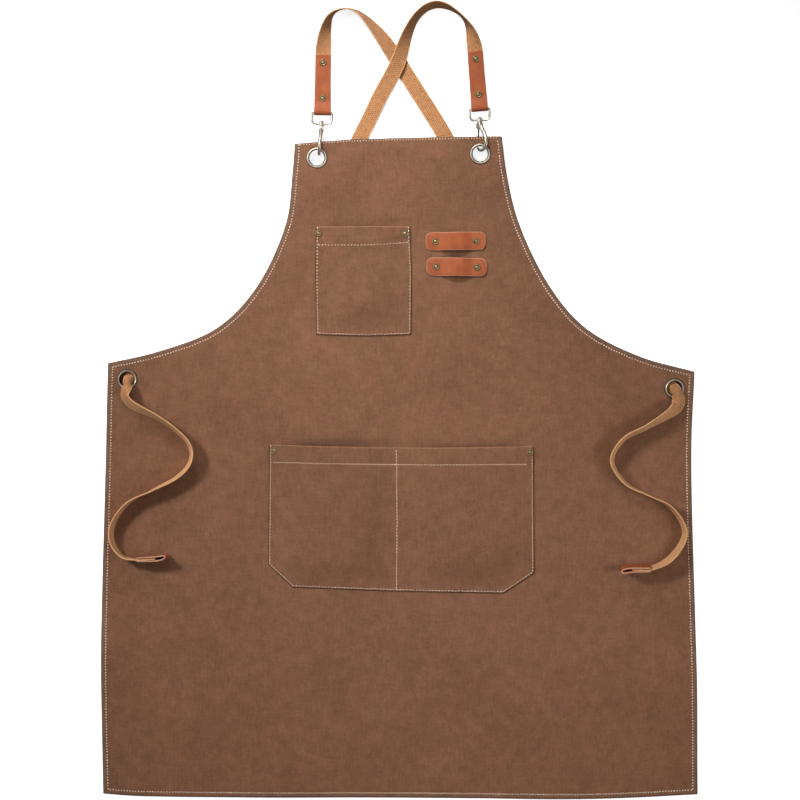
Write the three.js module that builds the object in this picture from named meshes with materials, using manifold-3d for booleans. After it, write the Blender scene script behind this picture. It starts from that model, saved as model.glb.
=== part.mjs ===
// A canvas bib apron with crossed webbing straps, laid out face up.
// Millimetres: +X to the right of the front, +Y towards the bib, +Z up from the surface it lies on.
import * as THREE from "three";
import { mergeVertices } from "three/addons/utils/BufferGeometryUtils.js";
import Module from "manifold-3d";

const wasm = await Module();
wasm.setup();

// Driving sizes
const GAP = 0.3;
const CLOTH = 1.2;
const HEM = 8;
const FACING = 34;
const LEATHER = 1.8;
const WEB = { width: 19, thick: 1.6 };
const EYELET = { hole: 9, barrel: 9.6, flange: 12.5, front: 1.2, back: 1.1 };
const RIVET = { shank: 1.6, head: 4, dome: 1.8, cap: 3.3, capThick: 0.8 };
const POCKET = { clear: 5.2, sewn: 11, ramp: 28, hemDepth: 22 };
const TOOL_LOOP = { length: 72, width: 21.8, corner: 6, clear: 4.9, flat: 9, foot: 19.5, rivet: 24.4 };
const TAB = { width: 19, length: 67.6, rise: 1, foldInner: 2.7, foldReach: 11, centre: 4.6 };
const TIP = { height: 20, length: 33, gap: 1.2, leather: 1.6, fold: 1.7 };
const EYE = { length: 15, window: 20.4, bar: 3, collar: 3, bore: 1.6, half: 2 };
const HOOK = { wire: 1.8, post: 1.3, head: 2.6, boss: 2.7, slot: 1.4, pinY: -7.5, pinZ: -2.2, pin: 0.8 };
const GATE = { rod: 1, knuckle: 2, half: 1.1, bore: 1.1 };
const GRID = 46;
const ROUND = 8;
const RING = 16;

// Height of the cloth's underside: it lies on its own hem in the skirt and on the straps in the yoke.
const SKIRT_LEVEL = 1.2;
const YOKE_LEVEL = 3.4;
const YOKE_FOOT = -45;
const YOKE_HEAD = -5;

// Edge of the panel as it lies, a row for each corner or change of curve, left side and right side.
const EDGE = [
  { at: "bib_top", leftX: -126, leftY: 307, rightX: 122, rightY: 316 },
  { at: "bib_side", leftX: -129, leftY: 270, rightX: 128, rightY: 270 },
  { at: "armhole_high", leftX: -137, leftY: 211, rightX: 143, rightY: 211 },
  { at: "armhole_bend", leftX: -173, leftY: 134, rightX: 181, rightY: 134 },
  { at: "armhole_low", leftX: -220, leftY: 86, rightX: 223, rightY: 86 },
  { at: "armhole_foot", leftX: -290, leftY: 58, rightX: 288, rightY: 52 },
  { at: "waist_corner", leftX: -350, leftY: 44, rightX: 353, rightY: 34 },
  { at: "skirt_high", leftX: -353, leftY: -72, rightX: 349.5, rightY: -60 },
  { at: "skirt_low", leftX: -358.5, leftY: -312, rightX: 356, rightY: -336 },
  { at: "hem_corner", leftX: -356, leftY: -472, rightX: 357, rightY: -473 },
];
const WAIST_ROW = 6;
const BOTTOM_EDGE = [
  { at: "left", x: -315, y: -475 },
  { at: "middle", x: 0, y: -477 },
  { at: "right", x: 250, y: -478 },
];
const TOP_EDGE = [
  { at: "right", x: 12, y: 314.5 },
  { at: "left", x: -62, y: 312 },
];

// Places where the cloth stands off the surface: the hooked corners and a few soft swells.
const LIFTS = [
  { at: "neck_left", x: -99.6, y: 290, height: 6.8, flat: 42, reach: 76 },
  { at: "neck_right", x: 96, y: 294.8, height: 6.8, flat: 42, reach: 76 },
  { at: "waist_left", x: -327, y: 24.7, height: 3.4, flat: 42, reach: 88 },
  { at: "waist_right", x: 329, y: 13.8, height: 3.4, flat: 42, reach: 88 },
  { at: "side_left", x: -357, y: -305, height: 4, flat: 0, reach: 75 },
  { at: "side_right", x: 356, y: -345, height: 4.5, flat: 0, reach: 80 },
  { at: "hem_right", x: 190, y: -478, height: 5, flat: 0, reach: 95 },
  { at: "hem_left", x: -140, y: -476, height: 3.5, flat: 0, reach: 85 },
];

const EYELETS = [
  { name: "eyelet_neck_left", x: -99.6, y: 290, layers: 2 },
  { name: "eyelet_neck_right", x: 96, y: 294.8, layers: 2 },
  { name: "eyelet_waist_left", x: -327, y: 24.7, layers: 1 },
  { name: "eyelet_waist_right", x: 329, y: 13.8, layers: 1 },
];

const CHEST_POCKET = [
  { at: "top_left", x: -101, y: 208 },
  { at: "bottom_left", x: -100.5, y: 78 },
  { at: "bottom_middle", x: -44, y: 76.5 },
  { at: "bottom_right", x: 13.5, y: 78 },
  { at: "top_right", x: 12, y: 208.5 },
];
const WAIST_POCKET = [
  { at: "top_left", x: -157, y: -53.5 },
  { at: "cut_left", x: -158.3, y: -197.4 },
  { at: "bottom_left", x: -129, y: -224.8 },
  { at: "bottom_middle", x: -4, y: -229.5 },
  { at: "bottom_right", x: 124, y: -232 },
  { at: "cut_right", x: 161.3, y: -207.5 },
  { at: "top_right", x: 160.3, y: -55.5 },
  { at: "top_middle", x: -4, y: -57 },
];
const WAIST_SEAM_X = -4.3;

const TOOL_LOOPS = [
  { name: "tool_loop_upper", x: 66.8, y: 190.4, tilt: 0.8 },
  { name: "tool_loop_lower", x: 67.8, y: 159.5, tilt: -0.8 },
];

// Snap hook sets: the middle of the eye's bar, the lie of the tab and of the hook, the hook's roll.
const SNAPS = [
  { side: "left", x: -93.1, y: 345.8, tabTurn: -0.8, hookTurn: -4.3, roll: 0 },
  { side: "right", x: 95.3, y: 350.4, tabTurn: 4.5, hookTurn: 0.8, roll: 36 },
];
const HOOK_PITCH = 3.5;
const TAB_RIVETS = [
  { at: "upper", along: 58.7 },
  { at: "lower", along: 16 },
];

// Line of the hook's bar in its own plane: down the hook (y) and towards the bar's side (z).
const HOOK_LINE = [
  { at: "root", y: -5, z: 0.8 },
  { at: "shoulder", y: -11, z: 4.8 },
  { at: "back", y: -18, z: 9.4 },
  { at: "widest", y: -25, z: 12.3 },
  { at: "turn", y: -31, z: 11.3 },
  { at: "bend", y: -35.2, z: 7.2 },
  { at: "foot", y: -36.5, z: 2.2 },
  { at: "return", y: -35.2, z: -2.6 },
  { at: "tip", y: -32.3, z: -5 },
];

// Lie of each strap: what it lies on and its lift off that, roll 0 flat and 90 on edge,
// cup folding both edges up or down along the middle.
const STRAP_FROM_LEFT = [
  { at: "tab_end", x: -92.9, y: 359.8, on: "floor", lift: 2.8, roll: 0, cup: 0 },
  { at: "tab_mid", x: -92.3, y: 404, on: "floor", lift: 2.8, roll: 0, cup: 0 },
  { at: "tab_top", x: -92.2, y: 413.6, on: "floor", lift: 2.8, roll: 0, cup: 0 },
  { at: "lifting", x: -91.6, y: 424, on: "floor", lift: 1.4, roll: 16, cup: 0 },
  { at: "leaning", x: -89.6, y: 442, on: "floor", lift: 0, roll: 45, cup: 0 },
  { at: "turning", x: -84.6, y: 458.4, on: "floor", lift: 0, roll: 68, cup: 0 },
  { at: "standing", x: -77.4, y: 465.6, on: "floor", lift: 0, roll: 82, cup: 0 },
  { at: "loop_top", x: -64.8, y: 469.2, on: "floor", lift: 0, roll: 92, cup: 0 },
  { at: "over", x: -52.2, y: 465.6, on: "floor", lift: 0, roll: 103, cup: 0 },
  { at: "falling", x: -42.6, y: 458.4, on: "floor", lift: 0, roll: 114, cup: 0 },
  { at: "easing", x: -29.4, y: 444, on: "floor", lift: 0, roll: 133, cup: 0 },
  { at: "laying", x: -18, y: 429.6, on: "floor", lift: 0, roll: 152, cup: 0 },
  { at: "crossing", x: 1.2, y: 400.8, on: "floor", lift: 0, roll: 178, cup: 0 },
  { at: "flat", x: 15, y: 379.2, on: "floor", lift: 0, roll: 180, cup: 0 },
  { at: "bib_edge", x: 55.2, y: 314.4, on: "floor", lift: 0, roll: 180, cup: 0 },
  { at: "under_bib", x: 112, y: 205, on: "floor", lift: 0, roll: 180, cup: 0 },
  { at: "under_armhole", x: 141, y: 146, on: "floor", lift: 0, roll: 180, cup: 0 },
  { at: "under_bend", x: 182, y: 92, on: "floor", lift: 0, roll: 180, cup: 0 },
  { at: "under_waist", x: 240, y: 48, on: "floor", lift: 0, roll: 180, cup: 0 },
  { at: "before_flange", x: 303, y: 21.9, on: "floor", lift: 0, roll: 180, cup: 0 },
  { at: "under_flange", x: 312, y: 19.2, on: "floor", lift: 0.2, roll: 180, cup: 0 },
  { at: "entry", x: 321.5, y: 16.2, on: "floor", lift: 3, roll: 180, cup: 14 },
  { at: "hole", x: 326.8, y: 14.2, on: "floor", lift: 8, roll: 180, cup: 50 },
  { at: "out", x: 330.3, y: 11, on: "floor", lift: 15.7, roll: 180, cup: 46 },
  { at: "rim", x: 333.2, y: 1.6, on: "floor", lift: 13, roll: 172, cup: 10 },
  { at: "corner", x: 333.5, y: -6, on: "cloth", lift: 0.3, roll: 152, cup: 0 },
  { at: "fold", x: 328, y: -12.5, on: "cloth", lift: 0, roll: 132, cup: 0 },
  { at: "tie_start", x: 317.5, y: -20, on: "cloth", lift: 0.4, roll: 117, cup: 0 },
  { at: "tie_run", x: 293.6, y: -33.5, on: "cloth", lift: 0.6, roll: 104, cup: 0 },
  { at: "first_bend_in", x: 268, y: -47, on: "cloth", lift: 0.5, roll: 100, cup: 0 },
  { at: "first_bend", x: 254, y: -72, on: "cloth", lift: 0, roll: 100, cup: 0 },
  { at: "first_bend_out", x: 269, y: -99, on: "cloth", lift: 0, roll: 96, cup: 0 },
  { at: "middle", x: 297, y: -114, on: "cloth", lift: 0, roll: 90, cup: 0 },
  { at: "second_bend_in", x: 325.7, y: -130, on: "cloth", lift: 0, roll: 84, cup: 0 },
  { at: "second_bend", x: 341, y: -160, on: "cloth", lift: 0, roll: 80, cup: 0 },
  { at: "second_bend_out", x: 323.5, y: -190, on: "cloth", lift: 0, roll: 86, cup: 0 },
  { at: "tip_start", x: 300.5, y: -200.2, on: "cloth", lift: 0, roll: 90, cup: 0 },
  { at: "tip_end", x: 288.6, y: -201.8, on: "cloth", lift: 0, roll: 90, cup: 0 },
];
const STRAP_FROM_RIGHT = [
  { at: "tab_end", x: 94.2, y: 364.4, on: "floor", lift: 2.8, roll: 0, cup: 0 },
  { at: "tab_mid", x: 90.7, y: 408.5, on: "floor", lift: 2.8, roll: 0, cup: 0 },
  { at: "tab_top", x: 90, y: 418, on: "floor", lift: 2.8, roll: 0, cup: 0 },
  { at: "lifting", x: 88.4, y: 428, on: "floor", lift: 1.2, roll: -22, cup: 0 },
  { at: "leaning", x: 85.4, y: 441, on: "floor", lift: 0, roll: -52, cup: 0 },
  { at: "turning", x: 80.9, y: 451, on: "floor", lift: 0, roll: -72, cup: 0 },
  { at: "standing", x: 75.6, y: 458.4, on: "floor", lift: 0, roll: -82, cup: 0 },
  { at: "shoulder", x: 67.4, y: 465.6, on: "floor", lift: 0, roll: -79, cup: 0 },
  { at: "before_top", x: 55.2, y: 472, on: "floor", lift: 0, roll: -71, cup: 0 },
  { at: "loop_top", x: 44.4, y: 474, on: "floor", lift: 0, roll: -66, cup: 0 },
  { at: "over", x: 33.6, y: 471.2, on: "floor", lift: 0, roll: -66, cup: 0 },
  { at: "falling", x: 24.4, y: 464.5, on: "floor", lift: 0, roll: -66, cup: 0 },
  { at: "easing", x: 16, y: 454, on: "floor", lift: 0.4, roll: -63, cup: 0 },
  { at: "laying", x: 7.8, y: 436, on: "floor", lift: 1.2, roll: -48, cup: 0 },
  { at: "crossing", x: -2, y: 406, on: "floor", lift: 4.4, roll: -16, cup: 0 },
  { at: "past_crossing", x: -10, y: 389, on: "floor", lift: 4.2, roll: -5, cup: 0 },
  { at: "settling", x: -23.4, y: 364.8, on: "floor", lift: 1.8, roll: 0, cup: 0 },
  { at: "flat", x: -37.2, y: 336, on: "floor", lift: 0, roll: 0, cup: 0 },
  { at: "bib_edge", x: -48, y: 314.4, on: "floor", lift: 0, roll: 0, cup: 0 },
  { at: "under_bib", x: -100, y: 205, on: "floor", lift: 0, roll: 0, cup: 0 },
  { at: "under_armhole", x: -130, y: 148, on: "floor", lift: 0, roll: 0, cup: 0 },
  { at: "under_bend", x: -172, y: 95, on: "floor", lift: 0, roll: 0, cup: 0 },
  { at: "under_waist", x: -232, y: 55, on: "floor", lift: 0, roll: 0, cup: 0 },
  { at: "before_flange", x: -301, y: 32.9, on: "floor", lift: 0, roll: 0, cup: 0 },
  { at: "under_flange", x: -310, y: 30.5, on: "floor", lift: 0.2, roll: 0, cup: 0 },
  { at: "entry", x: -319.5, y: 27.4, on: "floor", lift: 3, roll: 0, cup: -14 },
  { at: "hole", x: -324.8, y: 25.2, on: "floor", lift: 8, roll: 0, cup: -50 },
  { at: "out", x: -328.5, y: 21.8, on: "floor", lift: 15.7, roll: 0, cup: -46 },
  { at: "rim", x: -331.2, y: 12.5, on: "floor", lift: 13, roll: 8, cup: -10 },
  { at: "corner", x: -331.5, y: 4.5, on: "cloth", lift: 0.3, roll: 28, cup: 0 },
  { at: "fold", x: -327, y: -2.5, on: "cloth", lift: 0, roll: 48, cup: 0 },
  { at: "tie_start", x: -316.5, y: -9.5, on: "cloth", lift: 0.4, roll: 63, cup: 0 },
  { at: "tie_run", x: -291, y: -21, on: "cloth", lift: 0.6, roll: 76, cup: 0 },
  { at: "first_bend_in", x: -266, y: -40.5, on: "cloth", lift: 0.5, roll: 80, cup: 0 },
  { at: "first_bend", x: -249.8, y: -65, on: "cloth", lift: 0, roll: 80, cup: 0 },
  { at: "first_bend_out", x: -265, y: -91, on: "cloth", lift: 0, roll: 84, cup: 0 },
  { at: "middle", x: -296.3, y: -108, on: "cloth", lift: 0, roll: 90, cup: 0 },
  { at: "second_bend_in", x: -328, y: -124.5, on: "cloth", lift: 0, roll: 98, cup: 0 },
  { at: "second_bend", x: -346, y: -158, on: "cloth", lift: 0, roll: 101, cup: 0 },
  { at: "second_bend_out", x: -333, y: -186.5, on: "cloth", lift: 0, roll: 95, cup: 0 },
  { at: "tip_start", x: -315.8, y: -191.3, on: "cloth", lift: 0, roll: 90, cup: 0 },
  { at: "tip_end", x: -304.2, y: -189.7, on: "cloth", lift: 0, roll: 90, cup: 0 },
];
const TIPS = [
  { name: "tie_tip_left", x: -315, y: -191.1, turn: 7.6 },
  { name: "tie_tip_right", x: 299.6, y: -200.4, turn: 187.6 },
];

const canvas = new THREE.MeshStandardMaterial({ color: 0x7f5a45, roughness: 0.9, metalness: 0 });
canvas.name = "canvas";
const leather = new THREE.MeshStandardMaterial({ color: 0xb26342, roughness: 0.6, metalness: 0 });
leather.name = "leather";
const webbing = new THREE.MeshStandardMaterial({ color: 0xc69364, roughness: 0.85, metalness: 0 });
webbing.name = "webbing";
const nickel = new THREE.MeshStandardMaterial({ color: 0xa39a8e, roughness: 0.35, metalness: 1 });
nickel.name = "antique_nickel";
const brass = new THREE.MeshStandardMaterial({ color: 0x8a6a48, roughness: 0.4, metalness: 1 });
brass.name = "antique_brass";

// Turning geometry into solids that can be joined and cut, and back
function toSolid(geometry) {
  const bare = geometry.clone();
  bare.deleteAttribute("normal");
  bare.deleteAttribute("uv");
  const merged = mergeVertices(bare, 1e-4);
  const vertProperties = new Float32Array(merged.attributes.position.array);
  const triVerts = new Uint32Array(merged.index.array);
  return new wasm.Manifold(new wasm.Mesh({ numProp: 3, vertProperties, triVerts }));
}

function toGeometry(solid) {
  const mesh = solid.getMesh();
  const geometry = new THREE.BufferGeometry();
  geometry.setAttribute("position", new THREE.BufferAttribute(mesh.vertProperties, 3));
  geometry.setIndex(new THREE.BufferAttribute(mesh.triVerts, 1));
  geometry.computeVertexNormals();
  return geometry;
}

function piece(name, geometry, material) {
  const mesh = new THREE.Mesh(geometry, material);
  mesh.name = name;
  return mesh;
}

function prism(points, low, high) {
  const shape = new THREE.Shape(points);
  const geometry = new THREE.ExtrudeGeometry(shape, { depth: high - low, bevelEnabled: false });
  return toSolid(geometry.translate(0, 0, low));
}

function upright(radius, x, y, low, high, sides) {
  const geometry = new THREE.CylinderGeometry(radius, radius, high - low, sides);
  geometry.rotateX(Math.PI / 2);
  return toSolid(geometry.translate(x, y, (low + high) / 2));
}

function crosswise(radius, y, z, half) {
  const geometry = new THREE.CylinderGeometry(radius, radius, 2 * half, ROUND);
  geometry.rotateZ(Math.PI / 2);
  return toSolid(geometry.translate(0, y, z));
}

function lengthwise(radius, low, high) {
  const geometry = new THREE.CylinderGeometry(radius, radius, high - low, ROUND);
  return toSolid(geometry.translate(0, (low + high) / 2, 0));
}

// A profile drawn along Y and Z, carried across X
function sideProfile(shape, width) {
  const settings = { depth: width, bevelEnabled: false, curveSegments: 6 };
  const geometry = new THREE.ExtrudeGeometry(shape, settings).translate(0, 0, -width / 2);
  const sideways = new THREE.Matrix4().makeBasis(
    new THREE.Vector3(0, 1, 0),
    new THREE.Vector3(0, 0, 1),
    new THREE.Vector3(1, 0, 0),
  );
  return toSolid(geometry.applyMatrix4(sideways));
}

function planPoints(rows) {
  return rows.map((row) => new THREE.Vector2(row.x, row.y));
}

// Grid lines through the given keys with no space wider than the step
function gridLines(keys, step) {
  const sorted = [...keys].sort((a, b) => a - b);
  const lines = [sorted[0]];
  for (let i = 1; i < sorted.length; i += 1) {
    const span = sorted[i] - sorted[i - 1];
    const parts = Math.max(1, Math.ceil(span / step));
    for (let k = 1; k <= parts; k += 1) {
      lines.push(sorted[i - 1] + (span * k) / parts);
    }
  }
  return lines;
}

// A closed slab between two height functions over a grid
function slab(xs, ys, lower, upper) {
  const positions = [];
  const index = [];
  const across = xs.length;
  const layer = across * ys.length;
  const at = (i, j, k) => k * layer + j * across + i;
  const quad = (a, b, c, d) => index.push(a, b, c, a, c, d);
  for (const height of [lower, upper]) {
    for (const y of ys) {
      for (const x of xs) {
        positions.push(x, y, height(x, y));
      }
    }
  }
  const lastI = across - 1;
  const lastJ = ys.length - 1;
  for (let j = 0; j < lastJ; j += 1) {
    for (let i = 0; i < lastI; i += 1) {
      quad(at(i, j, 1), at(i + 1, j, 1), at(i + 1, j + 1, 1), at(i, j + 1, 1));
      quad(at(i, j, 0), at(i, j + 1, 0), at(i + 1, j + 1, 0), at(i + 1, j, 0));
    }
  }
  for (let i = 0; i < lastI; i += 1) {
    quad(at(i, 0, 0), at(i + 1, 0, 0), at(i + 1, 0, 1), at(i, 0, 1));
    quad(at(i + 1, lastJ, 0), at(i, lastJ, 0), at(i, lastJ, 1), at(i + 1, lastJ, 1));
  }
  for (let j = 0; j < lastJ; j += 1) {
    quad(at(0, j + 1, 0), at(0, j, 0), at(0, j, 1), at(0, j + 1, 1));
    quad(at(lastI, j, 0), at(lastI, j + 1, 0), at(lastI, j + 1, 1), at(lastI, j, 1));
  }
  const geometry = new THREE.BufferGeometry();
  geometry.setAttribute("position", new THREE.Float32BufferAttribute(positions, 3));
  geometry.setIndex(index);
  return toSolid(geometry);
}

// Height of the cloth
function clothUnder(x, y) {
  const share = THREE.MathUtils.clamp((y - YOKE_FOOT) / (YOKE_HEAD - YOKE_FOOT), 0, 1);
  let height = THREE.MathUtils.lerp(SKIRT_LEVEL, YOKE_LEVEL, share);
  for (const lift of LIFTS) {
    const distance = Math.hypot(x - lift.x, y - lift.y);
    height += lift.height * (1 - THREE.MathUtils.smoothstep(distance, lift.flat, lift.reach));
  }
  return height;
}

function clothTop(x, y) {
  return clothUnder(x, y) + CLOTH;
}

// Outline of the panel
function curvePoints(points, parts) {
  const curve = new THREE.CatmullRomCurve3(points, false, "centripetal");
  return curve.getPoints(parts).map((point) => new THREE.Vector2(point.x, point.y));
}

function outline() {
  const left = EDGE.map((row) => new THREE.Vector3(row.leftX, row.leftY, 0));
  const right = EDGE.map((row) => new THREE.Vector3(row.rightX, row.rightY, 0));
  const last = EDGE.length - 1;
  const bottomMiddle = BOTTOM_EDGE.map((row) => new THREE.Vector3(row.x, row.y, 0));
  const topMiddle = TOP_EDGE.map((row) => new THREE.Vector3(row.x, row.y, 0));
  const sections = [
    curvePoints(left.slice(0, WAIST_ROW + 1), 18),
    curvePoints(left.slice(WAIST_ROW), 6),
    curvePoints([left[last], ...bottomMiddle, right[last]], 10),
    curvePoints(right.slice(WAIST_ROW).reverse(), 6),
    curvePoints(right.slice(0, WAIST_ROW + 1).reverse(), 18),
    curvePoints([right[0], ...topMiddle, left[0]], 6),
  ];
  return sections.flatMap((section) => section.slice(0, -1));
}

// The outline moved inwards, for the inner edge of the hem
function inset(points, distance) {
  return points.map((point, i) => {
    const before = points[(i + points.length - 1) % points.length];
    const after = points[(i + 1) % points.length];
    const first = point.clone().sub(before).normalize();
    const second = after.clone().sub(point).normalize();
    const inward = new THREE.Vector2(-first.y - second.y, first.x + second.x).normalize();
    const mitre = distance / Math.max(0.5, inward.dot(new THREE.Vector2(-first.y, first.x)));
    return point.clone().addScaledVector(inward, mitre);
  });
}

// Rivets that go through the panel: place, and the height of the stack that each one holds
function panelRivets() {
  const pocketStack = CLOTH + GAP + 2 * CLOTH;
  const loopStack = CLOTH + GAP + LEATHER;
  const rows = [
    { name: "rivet_chest_left", x: -98, y: 200, stack: pocketStack },
    { name: "rivet_chest_right", x: 6, y: 199.5, stack: pocketStack },
    { name: "rivet_waist_left", x: -151, y: -60.3, stack: pocketStack },
    { name: "rivet_waist_right", x: 156, y: -62.5, stack: pocketStack },
  ];
  for (const loop of TOOL_LOOPS) {
    const turn = THREE.MathUtils.degToRad(loop.tilt);
    for (const [side, sign] of [["left", -1], ["right", 1]]) {
      rows.push({
        name: `rivet_${loop.name.replace("tool_", "")}_${side}`,
        x: loop.x + sign * TOOL_LOOP.rivet * Math.cos(turn),
        y: loop.y + sign * TOOL_LOOP.rivet * Math.sin(turn),
        stack: loopStack,
      });
    }
  }
  return rows;
}

function rivetGeometry(stack) {
  const top = stack + 0.15;
  const profile = [
    [0, -0.15 - RIVET.capThick],
    [RIVET.cap - 0.4, -0.15 - RIVET.capThick],
    [RIVET.cap, -0.15],
    [RIVET.shank, -0.15],
    [RIVET.shank, top],
    [RIVET.head, top],
    [RIVET.head - 0.4, top + 0.9],
    [0.5 * RIVET.head, top + RIVET.dome],
    [0, top + RIVET.dome],
  ].map(([radius, height]) => new THREE.Vector2(radius, height));
  return toGeometry(toSolid(new THREE.LatheGeometry(profile, ROUND).rotateX(Math.PI / 2)));
}

function eyeletGeometry(layers) {
  const low = -(layers - 1) * CLOTH - 0.1;
  const high = CLOTH + 0.1;
  const profile = [
    [EYELET.barrel, low],
    [EYELET.barrel, high],
    [EYELET.flange, high],
    [EYELET.flange, high + 0.3],
    [EYELET.flange - 1.2, high + EYELET.front - 0.1],
    [EYELET.hole + 0.9, high + EYELET.front],
    [EYELET.hole, high + 0.5],
    [EYELET.hole, low - 0.4],
    [EYELET.hole + 0.5, low - EYELET.back],
    [EYELET.flange - 0.2, low - EYELET.back + 0.2],
    [EYELET.flange - 0.2, low],
    [EYELET.barrel, low],
  ].map(([radius, height]) => new THREE.Vector2(radius, height));
  return toGeometry(toSolid(new THREE.LatheGeometry(profile, RING).rotateX(Math.PI / 2)));
}

// Body panel: a slab in the outline, thinned inside the hem, with its eyelet and rivet holes
function bodyPanel() {
  const edge = outline();
  const spread = 26;
  const xs = [-372, 372, ...EYELETS.flatMap((row) => [row.x - spread, row.x + spread])];
  const ys = [-492, YOKE_FOOT, -25, YOKE_HEAD, 52, 214, 264, 312, 330];
  const xLines = gridLines(xs, GRID);
  const yLines = gridLines(ys, GRID);
  const thick = slab(xLines, yLines, (x, y) => clothUnder(x, y) - CLOTH, clothTop);
  const below = slab(xLines, yLines, (x, y) => clothUnder(x, y) - 6, clothUnder);
  const facing = planPoints([
    { x: EDGE[0].leftX - 20, y: EDGE[0].leftY - FACING },
    { x: EDGE[0].rightX + 20, y: EDGE[0].rightY - FACING },
    { x: EDGE[0].rightX + 20, y: 340 },
    { x: EDGE[0].leftX - 20, y: 340 },
  ]);
  const inner = prism(inset(edge, HEM), -20, 40).subtract(prism(facing, -25, 45));
  let body = prism(edge, -20, 40).intersect(thick).subtract(inner.intersect(below));
  for (const row of EYELETS) {
    body = body.subtract(upright(EYELET.barrel + GAP, row.x, row.y, -20, 40, RING));
  }
  for (const row of panelRivets()) {
    body = body.subtract(upright(RIVET.shank + GAP, row.x, row.y, -20, 40, ROUND));
  }
  return toGeometry(body);
}

// Patch pockets: sewn round the edge, standing off the panel inside, open at the top
function pocket(rows, seams, level, rivets) {
  const points = planPoints(rows);
  const xs = points.map((point) => point.x);
  const ys = points.map((point) => point.y);
  const low = Math.min(...ys);
  const high = Math.max(...ys);
  const sewn = [Math.min(...xs), ...seams, Math.max(...xs)];
  const full = POCKET.sewn + POCKET.ramp;
  const ease = (distance) => THREE.MathUtils.smoothstep(distance, POCKET.sewn, full);
  const lower = (x, y) => {
    const sideways = Math.min(...sewn.map((seam) => Math.abs(x - seam)));
    return level + CLOTH + GAP + POCKET.clear * ease(sideways) * ease(y - low);
  };
  const hemFoot = high - POCKET.hemDepth;
  const upper = (x, y) => lower(x, y) + CLOTH * (y > hemFoot - 0.5 ? 2 : 1);
  const xKeys = [sewn[0] - 6, sewn[sewn.length - 1] + 6];
  for (const seam of sewn) {
    for (const reach of [POCKET.sewn, full]) {
      xKeys.push(seam - reach, seam + reach);
    }
  }
  const inside = xKeys.filter((x) => x >= sewn[0] - 6 && x <= sewn[sewn.length - 1] + 6);
  const yKeys = [low - 6, low + POCKET.sewn, low + full, hemFoot - 3, hemFoot, high + 6];
  const sheet = slab(gridLines(inside, 26), gridLines(yKeys, 40), lower, upper);
  let body = prism(points, -20, 40).intersect(sheet);
  for (const row of rivets) {
    body = body.subtract(upright(RIVET.shank + GAP, row.x, row.y, -20, 40, ROUND));
  }
  return toGeometry(body);
}

// Tool loop: a leather strip, flat at the rivets and arched between them
function toolLoop() {
  const { flat, foot } = TOOL_LOOP;
  const half = { x: TOOL_LOOP.length / 2, y: TOOL_LOOP.width / 2 };
  const shape = new THREE.Shape();
  const cut = TOOL_LOOP.corner;
  shape.moveTo(-half.x + cut, -half.y);
  shape.lineTo(half.x - cut, -half.y);
  shape.quadraticCurveTo(half.x, -half.y, half.x, -half.y + cut);
  shape.lineTo(half.x, half.y - cut);
  shape.quadraticCurveTo(half.x, half.y, half.x - cut, half.y);
  shape.lineTo(-half.x + cut, half.y);
  shape.quadraticCurveTo(-half.x, half.y, -half.x, half.y - cut);
  shape.lineTo(-half.x, -half.y + cut);
  shape.quadraticCurveTo(-half.x, -half.y, -half.x + cut, -half.y);
  const lower = (x) => {
    const arch = 1 - THREE.MathUtils.smoothstep(Math.abs(x), flat, foot);
    return GAP + TOOL_LOOP.clear * arch;
  };
  const xKeys = [-half.x - 4, -foot, -flat, flat, foot, half.x + 4];
  const yKeys = [-half.y - 4, half.y + 4];
  const lines = xKeys.flatMap((x, i) => {
    const steep = i === 2 || i === 4;
    return steep ? [(2 * xKeys[i - 1] + x) / 3, (xKeys[i - 1] + 2 * x) / 3, x] : [x];
  });
  const sheet = slab(lines, yKeys, lower, (x) => lower(x) + LEATHER);
  let body = prism(shape.getPoints(4), -20, 40).intersect(sheet);
  for (const sign of [-1, 1]) {
    body = body.subtract(upright(RIVET.shank + GAP, sign * TOOL_LOOP.rivet, 0, -20, 40, ROUND));
  }
  return toGeometry(body);
}

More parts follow.
